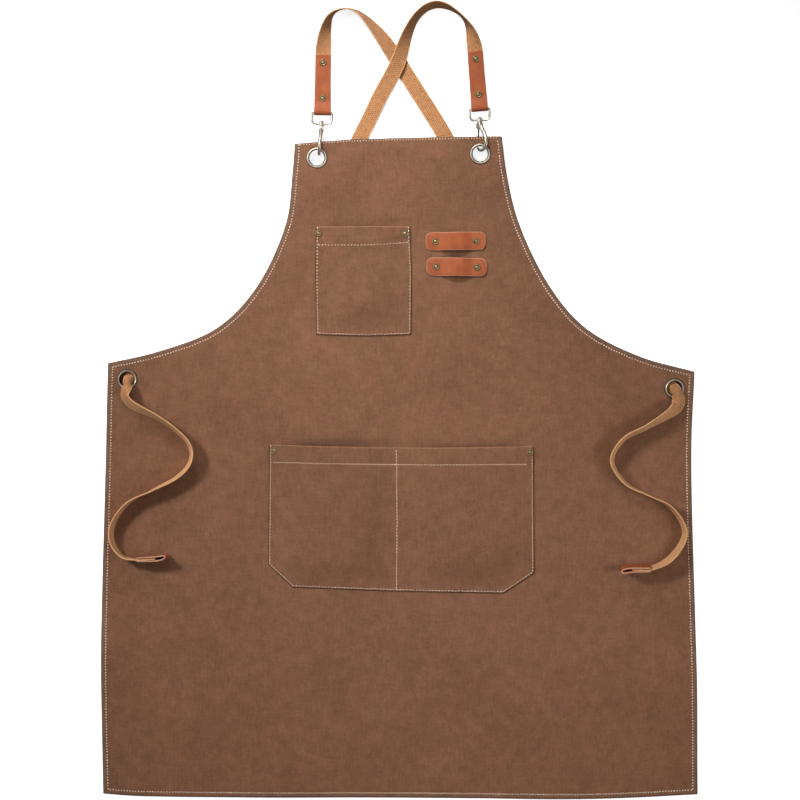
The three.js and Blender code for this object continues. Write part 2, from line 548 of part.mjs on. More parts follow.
// Webbing strap swept along its table of lies
function strap(rows, rivets) {
  const half = { width: WEB.width / 2, thick: WEB.thick / 2 };
  const centres = rows.map((row) => {
    const roll = THREE.MathUtils.degToRad(row.roll);
    const standing = half.width * Math.abs(Math.sin(roll)) + half.thick * Math.abs(Math.cos(roll));
    const ground = row.on === "cloth" ? clothTop(row.x, row.y) : 0;
    return new THREE.Vector3(row.x, row.y, ground + row.lift + GAP + standing);
  });
  const path = new THREE.CatmullRomCurve3(centres, false, "centripetal");
  const up = new THREE.Vector3(0, 0, 1);
  const positions = [];
  const index = [];
  const ring = 6;
  const addSection = (interval, share) => {
    const t = (interval + share) / (rows.length - 1);
    const from = rows[interval];
    const to = rows[Math.min(interval + 1, rows.length - 1)];
    const roll = THREE.MathUtils.degToRad(THREE.MathUtils.lerp(from.roll, to.roll, share));
    const cup = THREE.MathUtils.degToRad(THREE.MathUtils.lerp(from.cup, to.cup, share));
    const centre = path.getPoint(t);
    const along = path.getTangent(t);
    const side = up.clone().cross(along).normalize();
    const above = along.clone().cross(side);
    const wide = side.clone().multiplyScalar(Math.cos(roll)).addScaledVector(above, Math.sin(roll));
    const face = above.clone().multiplyScalar(Math.cos(roll)).addScaledVector(side, -Math.sin(roll));
    const places = [[-1, 1], [0, 1], [1, 1], [1, -1], [0, -1], [-1, -1]];
    for (const [edge, facing] of places) {
      const point = centre.clone();
      point.addScaledVector(wide, edge * half.width * Math.cos(cup));
      point.addScaledVector(face, Math.abs(edge) * half.width * Math.sin(cup));
      if (edge === 0) {
        point.addScaledVector(face, (facing * half.thick) / Math.cos(cup));
      } else {
        point.addScaledVector(face, facing * half.thick * Math.cos(cup));
        point.addScaledVector(wide, -edge * facing * half.thick * Math.sin(cup));
      }
      positions.push(point.x, point.y, point.z);
    }
  };
  for (let i = 0; i < rows.length - 1; i += 1) {
    const span = centres[i].distanceTo(centres[i + 1]);
    const straight = rows[i].roll === rows[i + 1].roll && rows[i].lift === rows[i + 1].lift;
    const parts = Math.max(1, Math.round(span / (straight ? 30 : 10)));
    for (let k = 0; k < parts; k += 1) {
      addSection(i, k / parts);
    }
  }
  addSection(rows.length - 1, 0);
  const sections = positions.length / (3 * ring);
  for (let s = 0; s < sections - 1; s += 1) {
    for (let r = 0; r < ring; r += 1) {
      const a = s * ring + r;
      const b = s * ring + ((r + 1) % ring);
      index.push(b, a, a + ring, b, a + ring, b + ring);
    }
  }
  const end = (sections - 1) * ring;
  index.push(0, 1, 4, 0, 4, 5, 1, 2, 3, 1, 3, 4);
  index.push(end, end + 4, end + 1, end, end + 5, end + 4);
  index.push(end + 1, end + 3, end + 2, end + 1, end + 4, end + 3);
  const geometry = new THREE.BufferGeometry();
  geometry.setAttribute("position", new THREE.Float32BufferAttribute(positions, 3));
  geometry.setIndex(index);
  let body = toSolid(geometry);
  for (const row of rivets) {
    body = body.subtract(upright(RIVET.shank + GAP, row.x, row.y, -20, 40, ROUND));
  }
  return toGeometry(body);
}

// Strap tab: leather folded round the eye's bar, its two layers holding the webbing between them
function strapTab() {
  const under = TAB.rise - TAB.centre;
  const underTop = under + LEATHER;
  const over = underTop + WEB.thick + 2 * GAP;
  const overTop = over + LEATHER;
  const inner = TAB.foldInner;
  const outer = inner + LEATHER;
  const reach = TAB.foldReach;
  const shape = new THREE.Shape();
  shape.moveTo(TAB.length, under);
  shape.lineTo(reach, under);
  shape.quadraticCurveTo(0.4 * reach, -outer, 0, -outer);
  shape.absarc(0, 0, outer, -Math.PI / 2, Math.PI / 2, true);
  shape.quadraticCurveTo(0.4 * reach, outer, reach, overTop);
  shape.lineTo(TAB.length, overTop);
  shape.lineTo(TAB.length, over);
  shape.lineTo(reach, over);
  shape.quadraticCurveTo(0.4 * reach, inner, 0, inner);
  shape.absarc(0, 0, inner, Math.PI / 2, 1.5 * Math.PI, false);
  shape.quadraticCurveTo(0.4 * reach, -inner, reach, underTop);
  shape.lineTo(TAB.length, underTop);
  let body = sideProfile(shape, TAB.width);
  for (const row of TAB_RIVETS) {
    body = body.subtract(upright(RIVET.shank + GAP, 0, row.along, -20, 40, ROUND));
  }
  return toGeometry(body);
}

function tabRivetPlaces(snap) {
  const turn = THREE.MathUtils.degToRad(snap.tabTurn);
  return TAB_RIVETS.map((row) => ({
    name: `rivet_tab_${snap.side}_${row.at}`,
    x: snap.x - row.along * Math.sin(turn),
    y: snap.y + row.along * Math.cos(turn),
  }));
}

// Tie tip: leather folded round the tie's end and standing on edge
function tieTip() {
  const inner = TIP.gap;
  const outer = TIP.gap + TIP.leather;
  const eyeX = TIP.length - TIP.fold - TIP.leather;
  const shape = new THREE.Shape();
  shape.moveTo(0, -outer);
  shape.lineTo(eyeX - 8, -outer);
  shape.quadraticCurveTo(eyeX - 4, -TIP.fold - TIP.leather, eyeX, -TIP.fold - TIP.leather);
  shape.absarc(eyeX, 0, TIP.fold + TIP.leather, -Math.PI / 2, Math.PI / 2, false);
  shape.quadraticCurveTo(eyeX - 4, TIP.fold + TIP.leather, eyeX - 8, outer);
  shape.lineTo(0, outer);
  shape.lineTo(0, inner);
  shape.lineTo(eyeX - 8, inner);
  shape.quadraticCurveTo(eyeX - 4, TIP.fold, eyeX, TIP.fold);
  shape.absarc(eyeX, 0, TIP.fold, Math.PI / 2, -Math.PI / 2, true);
  shape.quadraticCurveTo(eyeX - 4, -TIP.fold, eyeX - 8, -inner);
  shape.lineTo(0, -inner);
  const settings = { depth: TIP.height, bevelEnabled: false, curveSegments: 5 };
  return toGeometry(toSolid(new THREE.ExtrudeGeometry(shape, settings)));
}

// Swivel eye: a flat loop for the leather with a bored collar for the hook's post
function swivelEye() {
  const half = EYE.window / 2 + EYE.bar / 2 + 0.8;
  const low = -EYE.length - EYE.bar / 2;
  const high = EYE.bar / 2;
  const ring = new THREE.Shape();
  ring.moveTo(-half + 5, low);
  ring.lineTo(half - 5, low);
  ring.quadraticCurveTo(half, low, half, low + 5);
  ring.lineTo(half, high);
  ring.lineTo(-half, high);
  ring.lineTo(-half, low + 5);
  ring.quadraticCurveTo(-half, low, -half + 5, low);
  const window = new THREE.Path();
  const inside = EYE.window / 2;
  window.moveTo(-inside + 3, low + EYE.bar);
  window.lineTo(inside - 3, low + EYE.bar);
  window.quadraticCurveTo(inside, low + EYE.bar, inside, low + EYE.bar + 3);
  window.lineTo(inside, high - EYE.bar);
  window.lineTo(-inside, high - EYE.bar);
  window.lineTo(-inside, low + EYE.bar + 3);
  window.quadraticCurveTo(-inside, low + EYE.bar, -inside + 3, low + EYE.bar);
  ring.holes.push(window);
  const settings = { depth: EYE.bar, bevelEnabled: false, curveSegments: 4 };
  const loop = toSolid(new THREE.ExtrudeGeometry(ring, settings).translate(0, 0, -EYE.bar / 2));
  const collar = lengthwise(EYE.collar, -EYE.length - EYE.half, -EYE.length + EYE.half);
  const bore = lengthwise(EYE.bore, -EYE.length - 5, -EYE.length + 5);
  return toGeometry(loop.add(collar).subtract(bore));
}

function roundSection(radius) {
  const points = [];
  for (let i = 0; i < ROUND; i += 1) {
    const angle = (2 * Math.PI * i) / ROUND;
    points.push(new THREE.Vector2(radius * Math.cos(angle), radius * Math.sin(angle)));
  }
  return new THREE.Shape(points);
}

function wire(rows, radius, steps) {
  const path = new THREE.CatmullRomCurve3(
    rows.map((row) => new THREE.Vector3(0, row.y, row.z)),
    false,
    "centripetal",
  );
  const settings = { steps, extrudePath: path, bevelEnabled: false };
  return toSolid(new THREE.ExtrudeGeometry(roundSection(radius), settings));
}

// Hook: a post with a head in the eye's collar, a forked boss with the gate's pin, and the bent bar
function snapHook() {
  const top = -EYE.half - GAP;
  const boss = new THREE.Shape([
    new THREE.Vector2(top, -2.2),
    new THREE.Vector2(-5, -4.2),
    new THREE.Vector2(-9.5, -4.2),
    new THREE.Vector2(-10.5, -2.5),
    new THREE.Vector2(-11.5, 4),
    new THREE.Vector2(-6, 3.2),
    new THREE.Vector2(top, 2.2),
  ].reverse());
  const slotGeometry = new THREE.BoxGeometry(2 * HOOK.slot, 10, 7.4);
  const slot = toSolid(slotGeometry.translate(0, -9.9, -3.5));
  const fork = sideProfile(boss, 2 * HOOK.boss).subtract(slot);
  const post = lengthwise(HOOK.post, top - 0.5, EYE.half + GAP + 0.4);
  const head = lengthwise(HOOK.head, EYE.half + GAP, EYE.half + GAP + 1.3);
  const pin = crosswise(HOOK.pin, HOOK.pinY, HOOK.pinZ, HOOK.boss - 0.2);
  const bar = wire(HOOK_LINE, HOOK.wire, 18).subtract(slot);
  return toGeometry(fork.add(post).add(head).add(pin).add(bar));
}

// Gate: a knuckle on the hook's pin and a rod that closes against the hook's tip
function snapGate() {
  const rod = wire(
    [
      { y: -1.4, z: -0.15 },
      { y: -10, z: -0.95 },
      { y: -21.9, z: -1.7 },
    ],
    GATE.rod,
    4,
  );
  const knuckle = crosswise(GATE.knuckle, 0, 0, GATE.half);
  const bore = crosswise(GATE.bore, 0, 0, GATE.half + 2);
  return toGeometry(knuckle.add(rod).subtract(bore));
}

// Assembly
const apron = new THREE.Group();
apron.name = "canvas_apron";
const rivets = panelRivets();
const chestRivets = rivets.filter((row) => row.name.startsWith("rivet_chest"));
const waistRivets = rivets.filter((row) => row.name.startsWith("rivet_waist"));

apron.add(piece("body_panel", bodyPanel(), canvas));
apron.add(piece("chest_pocket", pocket(CHEST_POCKET, [], YOKE_LEVEL, chestRivets), canvas));
apron.add(piece("waist_pocket", pocket(WAIST_POCKET, [WAIST_SEAM_X], SKIRT_LEVEL, waistRivets), canvas));

for (const row of TOOL_LOOPS) {
  const mesh = piece(row.name, toolLoop(), leather);
  mesh.position.set(row.x, row.y, clothTop(row.x, row.y));
  mesh.rotation.z = THREE.MathUtils.degToRad(row.tilt);
  apron.add(mesh);
}

for (const row of EYELETS) {
  const mesh = piece(row.name, eyeletGeometry(row.layers), nickel);
  mesh.position.set(row.x, row.y, clothUnder(row.x, row.y));
  apron.add(mesh);
}

for (const row of rivets) {
  const mesh = piece(row.name, rivetGeometry(row.stack), brass);
  mesh.position.set(row.x, row.y, clothUnder(row.x, row.y));
  apron.add(mesh);
}

const strapRows = { left: STRAP_FROM_LEFT, right: STRAP_FROM_RIGHT };
for (const snap of SNAPS) {
  const places = tabRivetPlaces(snap);
  apron.add(piece(`strap_${snap.side}`, strap(strapRows[snap.side], places), webbing));

  const tab = piece(`strap_tab_${snap.side}`, strapTab(), leather);
  tab.position.set(snap.x, snap.y, TAB.centre);
  tab.rotation.z = THREE.MathUtils.degToRad(snap.tabTurn);
  apron.add(tab);

  for (const row of places) {
    const mesh = piece(row.name, rivetGeometry(2 * LEATHER + WEB.thick + 2 * GAP), brass);
    mesh.position.set(row.x, row.y, TAB.rise);
    apron.add(mesh);
  }

  const hardware = new THREE.Group();
  hardware.name = `hardware_${snap.side}`;
  hardware.position.set(snap.x, snap.y, TAB.centre);
  hardware.rotation.set(
    THREE.MathUtils.degToRad(-HOOK_PITCH),
    0,
    THREE.MathUtils.degToRad(snap.hookTurn),
    "ZXY",
  );
  hardware.add(piece(`swivel_eye_${snap.side}`, swivelEye(), nickel));

  const swivel = new THREE.Group();
  swivel.name = `swivel_${snap.side}`;
  swivel.position.set(0, -EYE.length, 0);
  swivel.rotation.y = THREE.MathUtils.degToRad(snap.roll);
  swivel.add(piece(`snap_hook_${snap.side}`, snapHook(), nickel));

  const gate = piece(`snap_gate_${snap.side}`, snapGate(), nickel);
  gate.position.set(0, HOOK.pinY, HOOK.pinZ);
  swivel.add(gate);
  hardware.add(swivel);
  apron.add(hardware);
}

for (const row of TIPS) {
  const mesh = piece(row.name, tieTip(), leather);
  mesh.position.set(row.x, row.y, clothTop(row.x, row.y) + 0.2);
  mesh.rotation.z = THREE.MathUtils.degToRad(row.turn);
  apron.add(mesh);
}

export default apron;
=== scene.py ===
"""Looks of a canvas bib apron with crossed straps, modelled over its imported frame."""

import math

import bpy
import numpy as np
from bpy.props import FloatProperty, FloatVectorProperty, PointerProperty
from mathutils import Matrix, Vector


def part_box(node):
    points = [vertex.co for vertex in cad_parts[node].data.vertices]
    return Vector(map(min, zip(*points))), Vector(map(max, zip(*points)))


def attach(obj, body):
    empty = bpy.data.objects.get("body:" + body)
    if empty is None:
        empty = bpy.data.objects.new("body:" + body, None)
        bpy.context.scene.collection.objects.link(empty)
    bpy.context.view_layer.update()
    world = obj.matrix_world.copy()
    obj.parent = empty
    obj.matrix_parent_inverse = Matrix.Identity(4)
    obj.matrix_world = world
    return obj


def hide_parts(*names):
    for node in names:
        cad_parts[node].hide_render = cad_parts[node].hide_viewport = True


bl_info = {
    "name": "Canvas apron",
    "version": (1, 0, 0),
    "blender": (4, 5, 0),
    "location": "3D View > Sidebar > Apron",
    "description": "Models a canvas bib apron that lies face up, piece by piece",
    "category": "Add Mesh",
}

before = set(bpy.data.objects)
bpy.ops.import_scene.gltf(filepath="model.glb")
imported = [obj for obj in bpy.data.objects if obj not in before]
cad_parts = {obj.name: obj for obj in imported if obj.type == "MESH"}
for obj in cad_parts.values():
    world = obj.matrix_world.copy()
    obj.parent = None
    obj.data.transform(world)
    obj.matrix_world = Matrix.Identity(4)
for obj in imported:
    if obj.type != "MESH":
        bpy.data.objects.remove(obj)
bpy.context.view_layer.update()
MM = 0.001

# Lengths in the tables are millimetres, angles are degrees.

# Height of the cloth's underside: on its own hem in the skirt, on the straps in the yoke. It slopes between
# the yoke's foot and head.
SKIRT_LEVEL = 1.2
YOKE_LEVEL = 3.4
YOKE_FOOT = -45
YOKE_HEAD = -5
# Room between pieces that lie on each other
GAP = 0.3
# Depth of the doubled cloth along the bib's top, and its stitch's distance from the edge
FACING = 34
TOP_STITCH_INSET = 2.2
# Steps of the panel's mesh: down the bib, down the skirt, across
BIB_STEP = 3.9
SKIRT_STEP = 4.2
PANEL_STEP = 5.6

# Edge of the panel: place, left x, left y, right x, right y
EDGE = (
    ("bib_top", -126, 307, 122, 316),
    ("bib_side", -129, 270, 128, 270),
    ("armhole_high", -137, 211, 143, 211),
    ("armhole_bend", -173, 134, 181, 134),
    ("armhole_low", -220, 86, 223, 86),
    ("armhole_foot", -290, 58, 288, 52),
    ("waist_corner", -350, 44, 353, 34),
    ("skirt_high", -353, -72, 349.5, -60),
    ("skirt_low", -358.5, -312, 356, -336),
    ("hem_corner", -356, -472, 357, -473),
)
# Row of the sharp waist corners, and points of the top and bottom edge between the corners
WAIST_ROW = 6
TOP_EDGE = ((-62, 312), (12, 314.5))
BOTTOM_EDGE = ((-315, -475), (0, -477), (250, -478))

# Places where the cloth stands off the surface: place, x, y, height, flat radius, outer radius
LIFTS = (
    ("neck_left", -99.6, 290, 6.8, 18, 80),
    ("neck_right", 96, 294.8, 6.8, 18, 80),
    ("waist_left", -327, 24.7, 3.4, 22, 100),
    ("waist_right", 329, 13.8, 3.4, 22, 100),
    ("side_left", -357, -305, 4, 0, 75),
    ("side_right", 356, -345, 4.5, 0, 80),
    ("hem_right", 190, -478, 5, 0, 95),
    ("hem_left", -140, -476, 3.5, 0, 85),
)

# Slack folds above the pockets' mouths: pocket, x, half length, height.
# Their crest's distance from the mouth, and how far they reach above and below the crest
MOUTH_CREST = 10
CREST_ABOVE = 26
CREST_BELOW = 5.5
MOUTH_FOLDS = (
    ("waist_pocket", -106, 24, 6.2),
    ("waist_pocket", -66, 20, 5.4),
    ("waist_pocket", -32, 26, 3.4),
    ("waist_pocket", 45, 50, 2.3),
    ("waist_pocket", 118, 34, 3.3),
    ("chest_pocket", -12, 26, 2.8),
    ("chest_pocket", -72, 24, 2.0),
)
# Soft folds under the bib's top edge: x, y, half width, half height, height
BIB_FOLDS = (
    (-46, 297, 15, 9, 1.4),
    (-8, 301, 18, 8, 1.1),
    (40, 296, 22, 10, 1.2),
    (-70, 262, 9, 26, 0.9),
    (66, 268, 10, 24, 0.8),
)

# Patch pockets: left and right edge from the mouth down, middle of the mouth and of the foot, height of the
# cloth below, x of each seam between the edges, line of the mouth's hem stitch
POCKETS = {
    "chest_pocket": {
        "left": ((-101, 208), (-101.6, 150), (-100.5, 78)),
        "right": ((12, 208.5), (14.4, 150), (13.5, 78)),
        "mouth": (-44, 208.2),
        "foot": (-44, 76.5),
        "level": YOKE_LEVEL,
        "seams": (),
        "hem": ((-101, 186), (-44, 185.6), (13, 189)),
    },
    "waist_pocket": {
        "left": ((-157, -53.5), (-158.3, -197.4), (-129, -224.8)),
        "right": ((160.3, -55.5), (161.3, -207.5), (124, -232)),
        "mouth": (-4, -57),
        "foot": (-4, -229.5),
        "level": SKIRT_LEVEL,
        "seams": (-4.3,),
        "hem": ((-157.2, -74.6), (-4, -77.6), (160.5, -77.2)),
    },
}
# Rise of a pocket off the cloth, and the flat and the sloping strip beside its seams
POCKET_CLEAR = 5.2
POCKET_SEWN = 11
POCKET_RAMP = 32
# Steps of a pocket's mesh: down its straight edge, down its cut corner, across
POCKET_STEP = 4.2
CORNER_STEP = 2.6
POCKET_WIDE_STEP = 4.4

# Tool loops: outline, rise of the arch, half length of its flat top, distance of its feet from the middle
TOOL_LOOP = {"length": 72, "width": 21.8, "corner": 7.4, "clear": 4.9, "flat": 9, "foot": 19.5}
TOOL_LOOP_TILT = {"tool_loop_upper": 0.8, "tool_loop_lower": -0.8}
# Cuts that give a tool loop's mesh its rows
LOOP_CUTS_ALONG = np.arange(-34, 34.1, 1.7)
LOOP_CUTS_ACROSS = (-5, 0, 5)

# Snap hook sets: side, x and y of the eye's bar, turn of the tab, turn of the hook, roll of the hook
SNAPS = (
    ("left", -93.1, 345.8, -0.8, -4.3, 0),
    ("right", 95.3, 350.4, 4.5, 0.8, 36),
)
# Lean of the hooks, height of the eye's bar, distance from the bar to the collar, gate's pin in the hook
HOOK_PITCH = 3.5
EYE_HEIGHT = 4.6
EYE_LENGTH = 15
GATE_PIN = (0, -7.5, -2.2)
# Eye: half width, radii of its corners at the collar and at the tab, drop of the upper bar,
# radii of its wire and of the collar's bore, and the collar's turned profile as radius and height
EYE_HALF = 11.7
EYE_LOW_ROUND = 4.5
EYE_HIGH_ROUND = 1.6
EYE_DROP = 1.1
EYE_WIRE = 1.45
EYE_BORE = 1.6
COLLAR = ((1.6, -2), (2.6, -2), (3, -1.6), (3, 1.6), (2.6, 2), (1.6, 2), (1.6, -2))

# Step of a strap's mesh, and the crease of a folded strap: square of its rounding, half its width
STRAP_STEP = 2.2
CREASE_ROUND = 2.0
CREASE_HALF = 2.5

# Lie of each strap: place, x, y, lift off what it lies on, roll (90 on edge), fold along the middle.
# It lies on the floor, and on the cloth from the row of LANDING on. The tie begins at TIE_START; its
# webbing is paler and more orange, in part as painted light on its standing faces.
LANDING = "corner"
TIE_START = "fold"
STRAP_LEFT = (
    ("tab_end", -92.9, 359.8, 2.8, 0, 0),
    ("tab_mid", -92.3, 404, 2.8, 0, 0),
    ("tab_top", -92.2, 413.6, 2.8, 0, 0),
    ("lifting", -91.6, 424, 1.4, 16, 0),
    ("leaning", -89.6, 442, 0, 45, 0),
    ("turning", -84.6, 458.4, 0, 71, 0),
    ("standing", -77.4, 465.6, 0, 89, 0),
    ("loop_top", -64.8, 469.2, 0, 94, 0),
    ("over", -52.2, 465.6, 0, 101, 0),
    ("falling", -42.6, 458.4, 0, 114, 0),
    ("easing", -29.4, 444, 0, 133, 0),
    ("laying", -18, 429.6, 0, 152, 0),
    ("crossing", 1.2, 400.8, 0, 178, 0),
    ("flat", 15, 379.2, 0, 180, 0),
    ("bib_edge", 55.2, 314.4, 0, 180, 0),
    ("under_bib", 112, 205, 0, 180, 0),
    ("under_armhole", 141, 146, 0, 180, 0),
    ("under_bend", 182, 92, 0, 180, 0),
    ("under_waist", 240, 48, 0, 180, 0),
    ("before_flange", 303, 21.9, 0, 180, 0),
    ("under_flange", 312, 19.2, 0.2, 180, 0),
    ("entry", 321.5, 16.2, 3, 180, 14),
    ("hole", 326.8, 14.2, 8, 180, 54),
    ("out", 330.3, 11, 15.7, 180, 54),
    ("over_rim", 332.9, 5.5, 16.2, 177, 54),
    ("rim", 334.6, -0.4, 12.5, 168, 34),
    ("corner", 333.4, -6.4, 0.6, 150, 14),
    ("fold", 328, -12.2, 0.1, 133, 4),
    ("tie_start", 318, -19, 0.4, 119, 0),
    ("tie_run", 293.6, -33.5, 0.6, 106, 0),
    ("first_bend_in", 268, -47, 0.5, 104, 0),
    ("first_bend", 254, -72, 0, 105, 0),
    ("first_bend_out", 269, -99, 0, 100, 0),
    ("middle", 297, -114, 0, 92, 0),
    ("second_bend_in", 325.7, -130, 0, 82, 0),
    ("second_bend", 341, -160, 0, 75, 0),
    ("second_bend_out", 323.5, -190, 0, 70, 0),
    ("tip_start", 300.2, -201.2, 0, 78, 0),
    ("tip_end", 276.4, -201.5, 0, 79, 0),
)
STRAP_RIGHT = (
    ("tab_end", 94.2, 364.4, 2.8, 0, 0),
    ("tab_mid", 90.7, 408.5, 2.8, 0, 0),
    ("tab_top", 90, 418, 2.8, 0, 0),
    ("lifting", 88.4, 428, 1.2, -22, 0),
    ("leaning", 85.4, 441, 0, -52, 0),
    ("turning", 80.9, 451, 0, -76, 0),
    ("standing", 75.6, 458.4, 0, -87, 0),
    ("shoulder", 67.4, 465.6, 0, -85, 0),
    ("before_top", 55.2, 472, 0, -74, 0),
    ("loop_top", 44.4, 474, 0, -66, 0),
    ("over", 33.6, 471.2, 0, -66, 0),
    ("falling", 24.4, 464.5, 0, -66, 0),
    ("easing", 16, 454, 0.4, -63, 0),
    ("laying", 7.8, 436, 1.2, -48, 0),
    ("crossing", -2, 406, 4.4, -16, 0),
    ("past_crossing", -10, 389, 4.2, -5, 0),
    ("settling", -23.4, 364.8, 1.8, 0, 0),
    ("flat", -37.2, 336, 0, 0, 0),
    ("bib_edge", -48, 314.4, 0, 0, 0),
    ("under_bib", -100, 205, 0, 0, 0),
    ("under_armhole", -130, 148, 0, 0, 0),
    ("under_bend", -172, 95, 0, 0, 0),
    ("under_waist", -232, 55, 0, 0, 0),
    ("before_flange", -301, 32.9, 0, 0, 0),
    ("under_flange", -310, 30.5, 0.2, 0, 0),
    ("entry", -319.5, 27.4, 3, 0, -14),
    ("hole", -322.9, 25.6, 8, 0, -66),
    ("out", -325.6, 22.6, 14.5, 18, -62),
    ("rim", -329.9, 14.4, 11.2, 50, -34),
    ("corner", -330.8, 6.6, 0.4, 60, -10),
    ("fold", -326.2, -1.2, 0.2, 58, 0),
    ("tie_start", -316.5, -8.4, 0.4, 60, 0),
    ("tie_run", -291, -21, 0.6, 72, 0),
    ("first_bend_in", -267, -37.5, 0.5, 77, 0),
    ("bend_upper", -253.5, -52, 0.2, 77, 0),
    ("first_bend", -249.8, -65, 0, 77, 0),
    ("bend_lower", -253.2, -78, 0, 78, 0),
    ("first_bend_out", -266.5, -92, 0, 79, 0),
    ("middle", -296.3, -108, 0, 85, 0),
    ("second_bend_in", -327, -124.5, 0, 98, 0),
    ("second_bend", -345, -152, 0, 105, 0),
    ("second_bend_low", -344, -172, 0, 104, 0),
    ("second_bend_out", -332, -187.5, 0, 98, 0),
    ("tip_start", -315.8, -191.3, 0, 91, 0),
    ("tip_end", -292.2, -190, 0, 90, 0),
)
# Slack of each strap that shows through its waist eyelet: start x and y, end x and y
WAIST_SLACK = {"strap_left": ((313, 18.9), (341, 10)), "strap_right": ((-311, 30.2), (-339, 21.4))}

# Leather tips of the ties: name, x, y, turn, how far the foot reaches ahead and aside of the top.
# Then their height, their leather's thickness and their lift off the cloth
TIE_TIPS = (("tie_tip_left", -315, -191.1, 3, 4.5, 0), ("tie_tip_right", 299.4, -201.3, 181, 0, -4))
TIP_HEIGHT = 20
TIP_THICK = 1.9
TIP_LIFT = 0.2

# Line of a tip's folded leather from above, from one cut end to the other: along, across
TIP_LINE = (
    (0, -2.0),
    (9, -2.1),
    (18, -2.5),
    (25, -2.4),
    (30, -1.5),
    (33.6, 0.2),
    (34.4, 1.8),
    (33, 3.0),
    (30, 3.2),
    (25, 2.6),
    (18, 2.2),
    (9, 2.0),
    (0, 2.0),
)

# Strap tab: width and length, heights of its layers against the eye's bar, radius of its bend round the
# bar, and its width at the eye and at the webbing as a share of the first
TAB_WIDTH = 19
TAB_LENGTH = 67.6
TAB_UNDER = -2.7
TAB_OVER = 1.3
TAB_BEND = 3.6
TAB_FLARE = (1.06, 0.95)
# Start of a tab's straight run, and its line between that and the bend, below and above: y, z
TAB_STRAIGHT = 13
TAB_RISE = ((8, -2.9), (4, -3.4))
TAB_FALL = ((4, 3.3), (8, 2.2))

# Line of the hook's bar: y down the hook, z towards the bar's side, radius
HOOK_LINE = (
    (-5, 0.8, 2.1),
    (-11, 4.8, 2.3),
    (-18, 9.4, 2.3),
    (-25, 12.3, 2.1),
    (-31, 11.3, 1.8),
    (-35.2, 7.2, 1.75),
    (-36.5, 2.2, 1.65),
    (-35.2, -2.6, 1.5),
    (-32.6, -4.8, 1.0),
)
GATE_LINE = ((-1.4, -0.15, 1.05), (-10, -0.95, 1.0), (-21.9, -1.7, 0.95))
# Radii of the hook's post and its head, of the gate's pin, and of the gate's knuckle and its bore
POST_RADIUS = 1.3
HEAD_RADIUS = 2.6
PIN_RADIUS = 0.8
KNUCKLE_RADIUS = 2
KNUCKLE_BORE = 1.1
# Width of the hook's boss and of the slot for the gate in it, and their outlines: y, z
BOSS_WIDTH = 5.4
SLOT_WIDTH = 2.8
HOOK_SLOT = ((-15, -7.2), (-4.9, -7.2), (-4.9, 0.2), (-15, 0.2))
HOOK_BOSS = ((-2.4, -2.2), (-5, -4.2), (-9.5, -4.2), (-10.5, -2.5), (-11.5, 4), (-6, 3.2), (-2.4, 2.2))

# Turned profiles: radius, height above the seat, polish (0 dark, 1 bright). Low polish is a dark film in
# the rivets' grooves and the eyelets' bores, and painted shade on the outer rims and the eyelets' inner
# rims.
# The eyelets' front has two columns of polish, for the neck eyelets and for the waist eyelets, darker in
# part as painted shade.
RIVET_HEAD = (
    (3.95, 0.0, 0.0),
    (4.0, 0.35, 0.0),
    (3.85, 0.75, 0.0),
    (3.4, 1.0, 0.7),
    (2.95, 0.98, 0.9),
    (2.6, 0.72, 0.1),
    (2.3, 0.7, 0.0),
    (2.05, 0.95, 0.1),
    (1.6, 1.35, 0.6),
    (0.9, 1.66, 1.0),
    (0.35, 1.75, 1.0),
)
RIVET_CAP = ((0.4, -0.95), (2.9, -0.95), (3.2, -0.7), (3.3, -0.15), (1.6, -0.15))
EYELET_FRONT = (
    (12.45, 0.0, 0.0, 0.0),
    (12.5, 0.3, 0.0, 0.0),
    (12.25, 0.7, 0.0, 0.0),
    (11.75, 1.02, 0.45, 0.08),
    (11.1, 1.18, 1.0, 0.2),
    (10.5, 1.16, 0.8, 0.55),
    (10.0, 1.02, 0.0, 0.6),
    (9.4, 0.7, 0.0, 0.2),
    (9.08, 0.25, 0.0, 0.0),
    (9.0, -0.3, 0.0, 0.0),
)
EYELET_BACK = (
    (9.0, 0.5, 0.8),
    (9.3, -0.75, 0.6),
    (9.9, -1.1, 0.6),
    (12.0, -0.95, 0.6),
    (12.3, -0.5, 0.3),
    (12.3, 0.0, 0.1),
)
# Distance of each seat from the top or the foot of the node's box
EYELET_FRONT_SEAT = 1.2
EYELET_BACK_SEAT = 1.1
RIVET_HEAD_SEAT = 1.8
RIVET_CAP_SEAT = 0.95
# Radii of the eyelet's sleeve in the cloth, of the hole round it and of the rivet's shank
EYELET_SLEEVE = 9.6
EYELET_HOLE = 9.85
RIVET_SHANK = 1.6
# Polish of what lies inside the cloth and of the rivets' back caps
HIDDEN_POLISH = 0.2
CAP_POLISH = 0.4
# Polish of the hooks and eyes, and of the gates' dark rods, which begin at GATE_ROD below the pin
HOOK_POLISH = 0.75
GATE_POLISH = 0.05
GATE_ROD = 2.2

# Share of a stitch's length that shows: hem, bib's top, sides of the pockets, their mouths and seam
HEM_DASH = 0.53
TOP_DASH = 0.38
DASH = 0.46
TIGHT_DASH = 0.5
# The hem's thread against the pockets' thread
HEM_THREAD = 1.28
# Rings of one stitch: place along its length, share of the thread's radius, height in radii
STITCH_RINGS = (
    (-0.5, 0.35, -1.1),
    (-0.4, 0.85, -0.25),
    (-0.12, 1.0, 0.25),
    (0.12, 1.0, 0.25),
    (0.4, 0.85, -0.25),
    (0.5, 0.35, -1.1),
)
# Stitches: seed of their unevenness, spread of their turn in radians and of their place, lift in radii
STITCH_SEED = 11
STITCH_TURN = 0.05
STITCH_SCATTER = 0.12
STITCH_LIFT = 0.55
